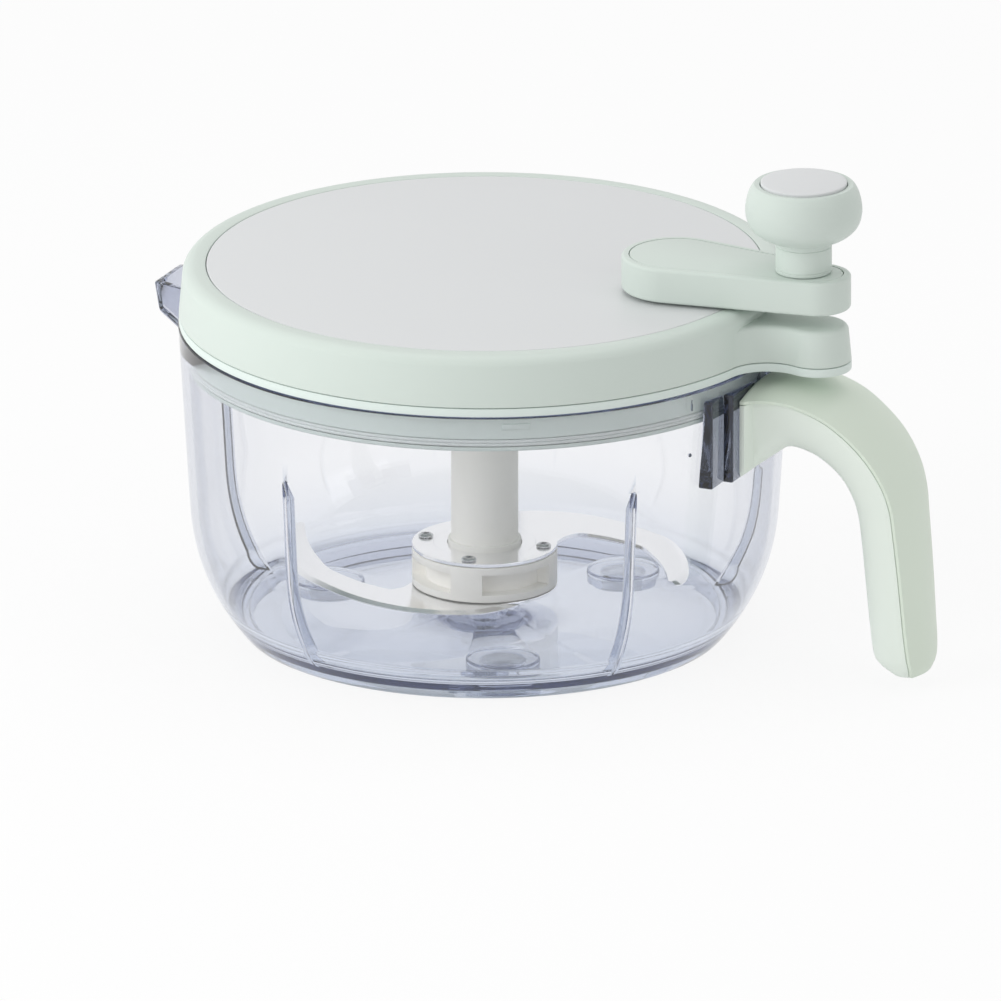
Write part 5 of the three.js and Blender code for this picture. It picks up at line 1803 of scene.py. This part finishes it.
        cutters = [
            round_bar("pin_seat", self.axle_hole, below, self.roof_seat),
            self.at(round_bar("axle_seat", self.axle_hole, below, self.roof_seat), "idler_axle"),
            self.at(round_bar("bush_seat", self.bush_hole, below, self.top), "crank_bush"),
            self.screw_ring("screw_seats", self.screw_radius + FIT_GAP, low - OVERRUN, screw_top),
        ]
        return smooth(combine(shell, cutters, Operation.DIFFERENCE))

    def build_plate(self) -> Piece:
        """Build the pale plate that fills the recess.

        Returns:
            The finished mesh object.
        """
        radius, low, top = self.plate_radius, self.plate_bottom, self.top
        profile = [(0, low), (radius, low), *rounded(radius, top, self.plate_edge, 0, MORE), (0, top)]
        hole = self.at(round_bar("plate_hole", self.bush_hole, low - OVERRUN, top + OVERRUN), "crank_bush")
        return smooth(combine(lathe("top_plate", profile, FINE_STEPS), [hole], Operation.DIFFERENCE))

    def build_seal(self) -> Piece:
        """Build the soft ring in the collar's groove, with two rounded lips.

        Returns:
            The finished mesh object.
        """
        low, high = self.seal_low, self.seal_high
        inner = self.collar_radius - self.groove_depth + FIT_GAP
        lip, turn = (high - low) * self.seal_lip_share, self.seal_lip_turn
        middle = self.wall.inner(low) - FIT_GAP - lip
        profile = [(inner, low), *arc((middle, low + lip), lip, -90, turn, MORE), (middle, low + 2 * lip)]
        profile += [*arc((middle, high - lip), lip, -turn, 90, MORE), (inner, high)]
        return smooth(lathe("lid_seal", profile, FINE_STEPS))

    def build_screws(self) -> Piece:
        """Build the four screws that hold the base plate, with a cross recess in each head.

        Returns:
            The mesh object with all the screws.
        """
        low, head, radius = self.screw_head_low, self.screw_head, self.screw_radius
        head_top = low + self.screw_head_height
        end = head_top + self.screw_length - FIT_GAP
        profile = [(0, low), *rounded(head, low, self.screw_edge, -90), (head, head_top), (radius, head_top)]
        profile += [(radius, end - self.screw_point), (radius * self.screw_point_share, end), (0, end)]
        screw = lathe("lid_screw", profile, BAR_STEPS)
        arm, half = (head * share for share in self.cross_shares)
        cross = []
        for x, y in ((arm, half), (half, arm)):
            cross.append(box_between("cross", (-x, -y, low - OVERRUN), (x, y, low + self.cross_depth)))
        return self.on_screws("lid_screws", smooth(combine(screw, cross, Operation.DIFFERENCE)), PIN_STEEL)

    def dress(self) -> None:
        """Build the lid's visible pieces and put them on the lid."""
        # The lid's base takes mint drawn lighter: painted light on its collar
        install(self.build_base(), Body.LID, "mint_plastic", LIT_BASE_MINT, "lid_base")
        install(self.build_shell(), Body.LID, "mint_plastic", MINT, "lid_shell")
        install(self.build_plate(), Body.LID, "pale_plate", PLATE, "top_plate")
        install(self.build_seal(), Body.LID, "silicone", SILICONE, "lid_seal")
        install(self.build_screws(), Body.LID, "steel", PIN_STEEL, *numbered("lid_screw", self.screw_count))


@dataclass
class Crank:
    """Crank arm with its inlay and the stem that carries the knob."""

    bottom: float = 132.0
    top: float = 144.3
    lower_edge: float = 1.2
    upper_edge: float = 1.2
    pivot_radius: float = 19.3
    end_radius: float = 11.8
    end_reach: float = 53.0
    inlay_inset: float = 2.5
    inlay_floor: float = 142.0
    inlay_bottom: float = 142.3
    inlay_edge: float = 0.3
    socket_flat_radius: float = 5.3
    socket_top: float = 138.2
    screw_hole: float = 2.3
    pocket_radius: float = 4.7
    pocket_floor: float = 140.2
    spindle_hole: float = 3.3
    spindle_floor: float = 135.8
    stem_radius: float = 9.8
    stem_bottom: float = 144.6
    stem_top: float = 156.0
    stem_flare: float = 0.7
    stem_flare_end: float = 100.0
    stem_line_depth: float = 0.25
    stem_line_offset: float = 1.3
    tangent_steps: tuple[int, int] = (56, 36)
    screw_hole_overrun: float = 0.1
    stem_edge: float = 0.3

    def outline(self, inset: float) -> Outline:
        """Two circles joined by their tangents, about the crank's axis.

        Args:
            inset: Distance that the outline is drawn in.

        Returns:
            Anticlockwise points.
        """
        big, small = self.pivot_radius - inset, self.end_radius - inset
        big_steps, small_steps = self.tangent_steps
        turn = math.degrees(math.acos((self.pivot_radius - self.end_radius) / self.end_reach))
        end = arc((self.end_reach, 0), small, -turn, turn, small_steps)
        return arc((0, 0), big, turn, 360 - turn, big_steps) + end

    def to_knob(self, piece: Piece) -> Piece:
        """Move a piece from the crank's axis to the knob's axis, both still about the origin."""
        return shifted(piece, axis_of("knob_stem")[0] - axis_of("crank_bush")[0], 0)

    def build_arm(self) -> Piece:
        """Build the arm with the recess for its inlay and its sockets.

        Returns:
            The finished mesh object.
        """
        edges = (self.lower_edge, self.upper_edge)
        arm = soft_prism("crank_arm", self.outline(0), self.bottom, self.top, edges)
        hex_radius = self.socket_flat_radius / math.cos(math.pi / HEX_SIDES)
        hole_top = self.inlay_floor + self.screw_hole_overrun
        cutters = [
            prism("inlay_recess", self.outline(self.inlay_inset), self.inlay_floor, self.top + OVERRUN),
            round_bar("arm_socket", hex_radius, self.bottom - OVERRUN, self.socket_top, HEX_SIDES),
            round_bar("arm_screw_hole", self.screw_hole, self.bottom, hole_top),
            round_bar("arm_pocket", self.pocket_radius, self.pocket_floor, self.inlay_floor + OVERRUN),
            self.to_knob(round_bar("arm_spindle_hole", self.spindle_hole, self.spindle_floor, self.top)),
        ]
        combine(arm, cutters, Operation.DIFFERENCE)
        return shifted(smooth(arm), *axis_of("crank_bush"))

    def build_inlay(self) -> Piece:
        """Build the inlay that lies flush in the arm.

        Returns:
            The finished mesh object.
        """
        outline = self.outline(self.inlay_inset + FIT_GAP)
        inlay = soft_prism("crank_inlay", outline, self.inlay_bottom, self.top, (0, self.inlay_edge), FEW)
        hole = round_bar("inlay_hole", self.spindle_hole, self.inlay_bottom - OVERRUN, self.top + OVERRUN)
        combine(inlay, [self.to_knob(hole)], Operation.DIFFERENCE)
        return shifted(smooth(inlay), *axis_of("crank_bush"))

    def build_stem(self) -> Piece:
        """Build the stem under the knob, with a fine line near each end.

        Returns:
            The finished mesh object.
        """
        radius, low, high = self.stem_radius, self.stem_bottom, self.stem_top
        offset, cut, flare = self.stem_line_offset, self.stem_line_depth, self.stem_flare
        profile = [(self.spindle_hole, low), *rounded(radius, low, self.stem_edge, -90, FEW)]
        for middle in (low + offset, high - flare - offset):
            profile += [(radius, middle - cut), (radius - cut, middle), (radius, middle + cut)]
        profile += arc((radius + flare, high - flare), flare, 180, self.stem_flare_end, MORE)
        profile += [(radius + flare, high), (self.spindle_hole, high)]
        return shifted(smooth(lathe("knob_stem", profile)), *axis_of("knob_stem"))

    def dress(self) -> None:
        """Build the arm, inlay and stem and put them on the crank."""
        install(self.build_arm(), Body.CRANK, "mint_plastic", MINT, "crank_arm")
        install(self.build_inlay(), Body.CRANK, "mint_plastic", MINT, "crank_inlay")
        install(self.build_stem(), Body.CRANK, "mint_plastic", MINT, "knob_stem")


@dataclass
class Knob:
    """Swollen knob that turns on its spindle, closed by a pale cap."""

    bottom: float = 156.3
    top: float = 176.1
    radius: float = 20.3
    neck_radius: float = 11.2
    bore: float = 3.3
    head_space: float = 6.5
    web_top: float = 167.3
    recess_radius: float = 15.3
    recess_floor: float = 174.3
    cap_radius: float = 15.0
    cap_bottom: float = 174.6
    cap_thickness: float = 2.99
    cap_dome: float = 0.6
    cap_edge: float = 0.4
    cap_edge_turn: float = 70.0
    rim_edge: float = 0.3
    cap_steps: int = 16
    profile_steps: int = 6
    profile_shares: tuple[tuple[float, float], ...] = (
        (0, 0),
        (0.34, 0.05),
        (0.68, 0.16),
        (0.9, 0.3),
        (1, 0.5),
        (0.97, 0.68),
        (0.88, 0.84),
        (0.76, 0.95),
        (0.66, 1),
    )

    def build_body(self) -> Piece:
        """Build the swollen body with the recess for its cap.

        Returns:
            The finished mesh object.
        """
        swell, height = self.radius - self.neck_radius, self.top - self.bottom
        profile = [(self.bore, self.bottom)]
        for radius_share, height_share in catmull(self.profile_shares, self.profile_steps):
            swollen = self.neck_radius + swell * min(1.0, radius_share)
            profile.append((swollen, self.bottom + height * min(1.0, max(0.0, height_share))))
        profile += rounded(self.recess_radius, self.top, self.rim_edge, 90, FEW)
        profile += [(self.recess_radius, self.recess_floor), (self.head_space, self.recess_floor)]
        profile += [(self.head_space, self.web_top), (self.bore, self.web_top)]
        return shifted(smooth(lathe("knob_body", profile)), *axis_of("knob_cap"))

    def build_cap(self) -> Piece:
        """Build the slightly domed cap.

        Returns:
            The finished mesh object.
        """
        shoulder, edge = self.cap_bottom + self.cap_thickness - self.cap_dome, self.cap_edge
        profile = [(0, self.cap_bottom), (self.cap_radius, self.cap_bottom)]
        profile += arc((self.cap_radius - edge, shoulder - edge), edge, 0, self.cap_edge_turn, SOME)
        for i in range(1, self.cap_steps + 1):
            share = i / self.cap_steps
            rise = self.cap_dome * (1 - (1 - share) ** 2)
            profile.append(((self.cap_radius - edge) * (1 - share), shoulder + rise))
        return shifted(smooth(lathe("knob_cap", profile)), *axis_of("knob_cap"))

    def dress(self) -> None:
        """Build both pieces and put them on the knob."""
        install(self.build_body(), Body.KNOB, "mint_plastic", MINT, "knob_body")
        install(self.build_cap(), Body.KNOB, "pale_plate", PLATE, "knob_cap")


@dataclass(frozen=True)
class GearTrain:
    """Gears, axles and bushes inside the lid, which keep their CAD shape."""

    gears: tuple[str, ...] = ("crank_gear", "idler_gear", "output_gear")
    bushes: tuple[str, ...] = ("output_bush", "crank_bush")
    rods: tuple[str, ...] = ("idler_axle", "crank_shaft", "crank_screw", "knob_spindle", "centre_pin")

    def dress(self) -> None:
        """Give the kept CAD nodes their finishes."""
        for names, finish in ((self.gears, ACETAL), (self.bushes, BRONZE), (self.rods, PIN_STEEL)):
            for name in names:
                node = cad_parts[name]
                node.data.materials.clear()
                node.data.materials.append(finish.material)
                log.info("%s: kept from the frame", name)


def direction(azimuth: float, elevation: float) -> Vector:
    """Unit vector from the object towards a viewer.

    Args:
        azimuth: Degrees round the object, zero where the viewer looks along +Y.
        elevation: Degrees above the floor.

    Returns:
        The unit vector.
    """
    a, e = math.radians(azimuth), math.radians(elevation)
    return Vector((math.sin(a) * math.cos(e), -math.cos(a) * math.cos(e), math.sin(e)))


def set_up(name: str, data: bpy.types.ID, target: Vector, back: Vector, distance_m: float) -> Piece:
    """Set up a lamp or a camera that faces a point.

    Args:
        name: Name of the object.
        data: Its lamp or camera data.
        target: Point in metres that it faces.
        back: Unit vector from the point towards it.
        distance_m: Its distance from the point.

    Returns:
        The new object, linked to the scene.
    """
    piece = bpy.data.objects.new(name, data)
    bpy.context.scene.collection.objects.link(piece)
    piece.location = target + back * distance_m
    piece.rotation_euler = back.to_track_quat("Z", "Y").to_euler()
    return piece


@dataclass(frozen=True)
class SoftBox:
    """One large soft lamp."""

    name: str
    azimuth: float
    elevation: float
    distance_m: float
    width_m: float
    height_m: float
    power_w: float
    mirrored: bool = True

    def place(self, target: Vector) -> None:
        """Set the lamp up so that it faces a point.

        Args:
            target: Point in metres that the lamp faces.
        """
        lamp = bpy.data.lights.new(self.name, "AREA")
        lamp.shape = "RECTANGLE"
        lamp.size, lamp.size_y = self.width_m, self.height_m
        lamp.energy = self.power_w
        piece = set_up(self.name, lamp, target, direction(self.azimuth, self.elevation), self.distance_m)
        piece.visible_glossy = piece.visible_transmission = self.mirrored


@dataclass
class Studio:
    """Pale floor, soft lamps, white surroundings and the camera."""

    floor_z: float = -1.0
    floor_half: float = 9000.0
    azimuth: float = 24.0
    elevation: float = 18.6
    distance_m: float = 15.0
    frame_width_mm: float = 348.4
    sensor_mm: float = 36.0
    aim_height: float = 43.9
    aim_right: float = 5.5
    ambient: float = 0.55
    clip_m: tuple[float, float] = (0.01, 100.0)
    lamp_aim_m: tuple[float, float, float] = (0.0, 0.0, 0.07)
    light_paths: int = 32
    lamps: tuple[SoftBox, ...] = (
        SoftBox("key_soft_box", -42.0, 24.0, 1.6, 1.2, 1.2, 14.0, mirrored=False),
        SoftBox("fill_soft_box", 80.0, 30.0, 1.8, 1.0, 1.4, 2.6),
        SoftBox("top_soft_box", 200.0, 78.0, 1.6, 1.4, 1.0, 4.5),
    )

    def build_floor(self) -> None:
        """Build the floor."""
        half = self.floor_half
        corners = at_height([(-half, -half), (half, -half), (half, half), (-half, half)], self.floor_z)
        floor = make_object("floor", corners, [(0, 1, 2, 3)])
        floor.data.materials.append(PAPER.material)

    def build_world(self) -> None:
        """Surround the object with white that lights it softly."""
        world = bpy.data.worlds.new("white_surroundings")
        bpy.context.scene.world = world
        world.use_nodes = True
        tree = world.node_tree
        tree.nodes.clear()
        span = {"To Min": self.ambient, "To Max": 1.0}
        strength = add_node(tree, "ShaderNodeMapRange", span, {"Value": seen_directly(tree)})
        glow = {"Strength": strength.outputs["Result"]}
        light = add_node(tree, "ShaderNodeBackground", {"Color": linear(WHITE)}, glow)
        add_node(tree, "ShaderNodeOutputWorld", {}, {"Surface": light.outputs[0]})

    def build_camera(self) -> None:
        """Set the camera up at the photograph's angle and distance."""
        data = bpy.data.cameras.new("camera")
        data.sensor_width = self.sensor_mm
        data.lens = self.sensor_mm * self.distance_m / (self.frame_width_mm * MM)
        data.clip_start, data.clip_end = self.clip_m
        turn = math.radians(self.azimuth)
        right = Vector((math.cos(turn), math.sin(turn), 0))
        target = (Vector((0, 0, self.aim_height)) + right * self.aim_right) * MM
        back = direction(self.azimuth, self.elevation)
        bpy.context.scene.camera = set_up("camera", data, target, back, self.distance_m)

    def build(self) -> None:
        """Build the whole studio."""
        self.build_floor()
        self.build_world()
        self.build_camera()
        for lamp in self.lamps:
            lamp.place(Vector(self.lamp_aim_m))
        bpy.context.scene.view_settings.view_transform = "Standard"
        # Light turns back many times inside thick clear plastic
        paths = bpy.context.scene.cycles
        paths.max_bounces = paths.glossy_bounces = paths.transmission_bounces = self.light_paths


def main() -> None:
    """Build the studio and every sub-assembly around the frame."""
    logging.basicConfig(level=logging.INFO, format="%(name)s %(message)s")
    wall = BowlWall()
    Studio().build()
    for assembly in (Bowl(wall), Handle(), BladeAssembly(), Lid(wall), GearTrain(), Crank(), Knob()):
        assembly.dress()


if __name__ == "__main__":
    main()
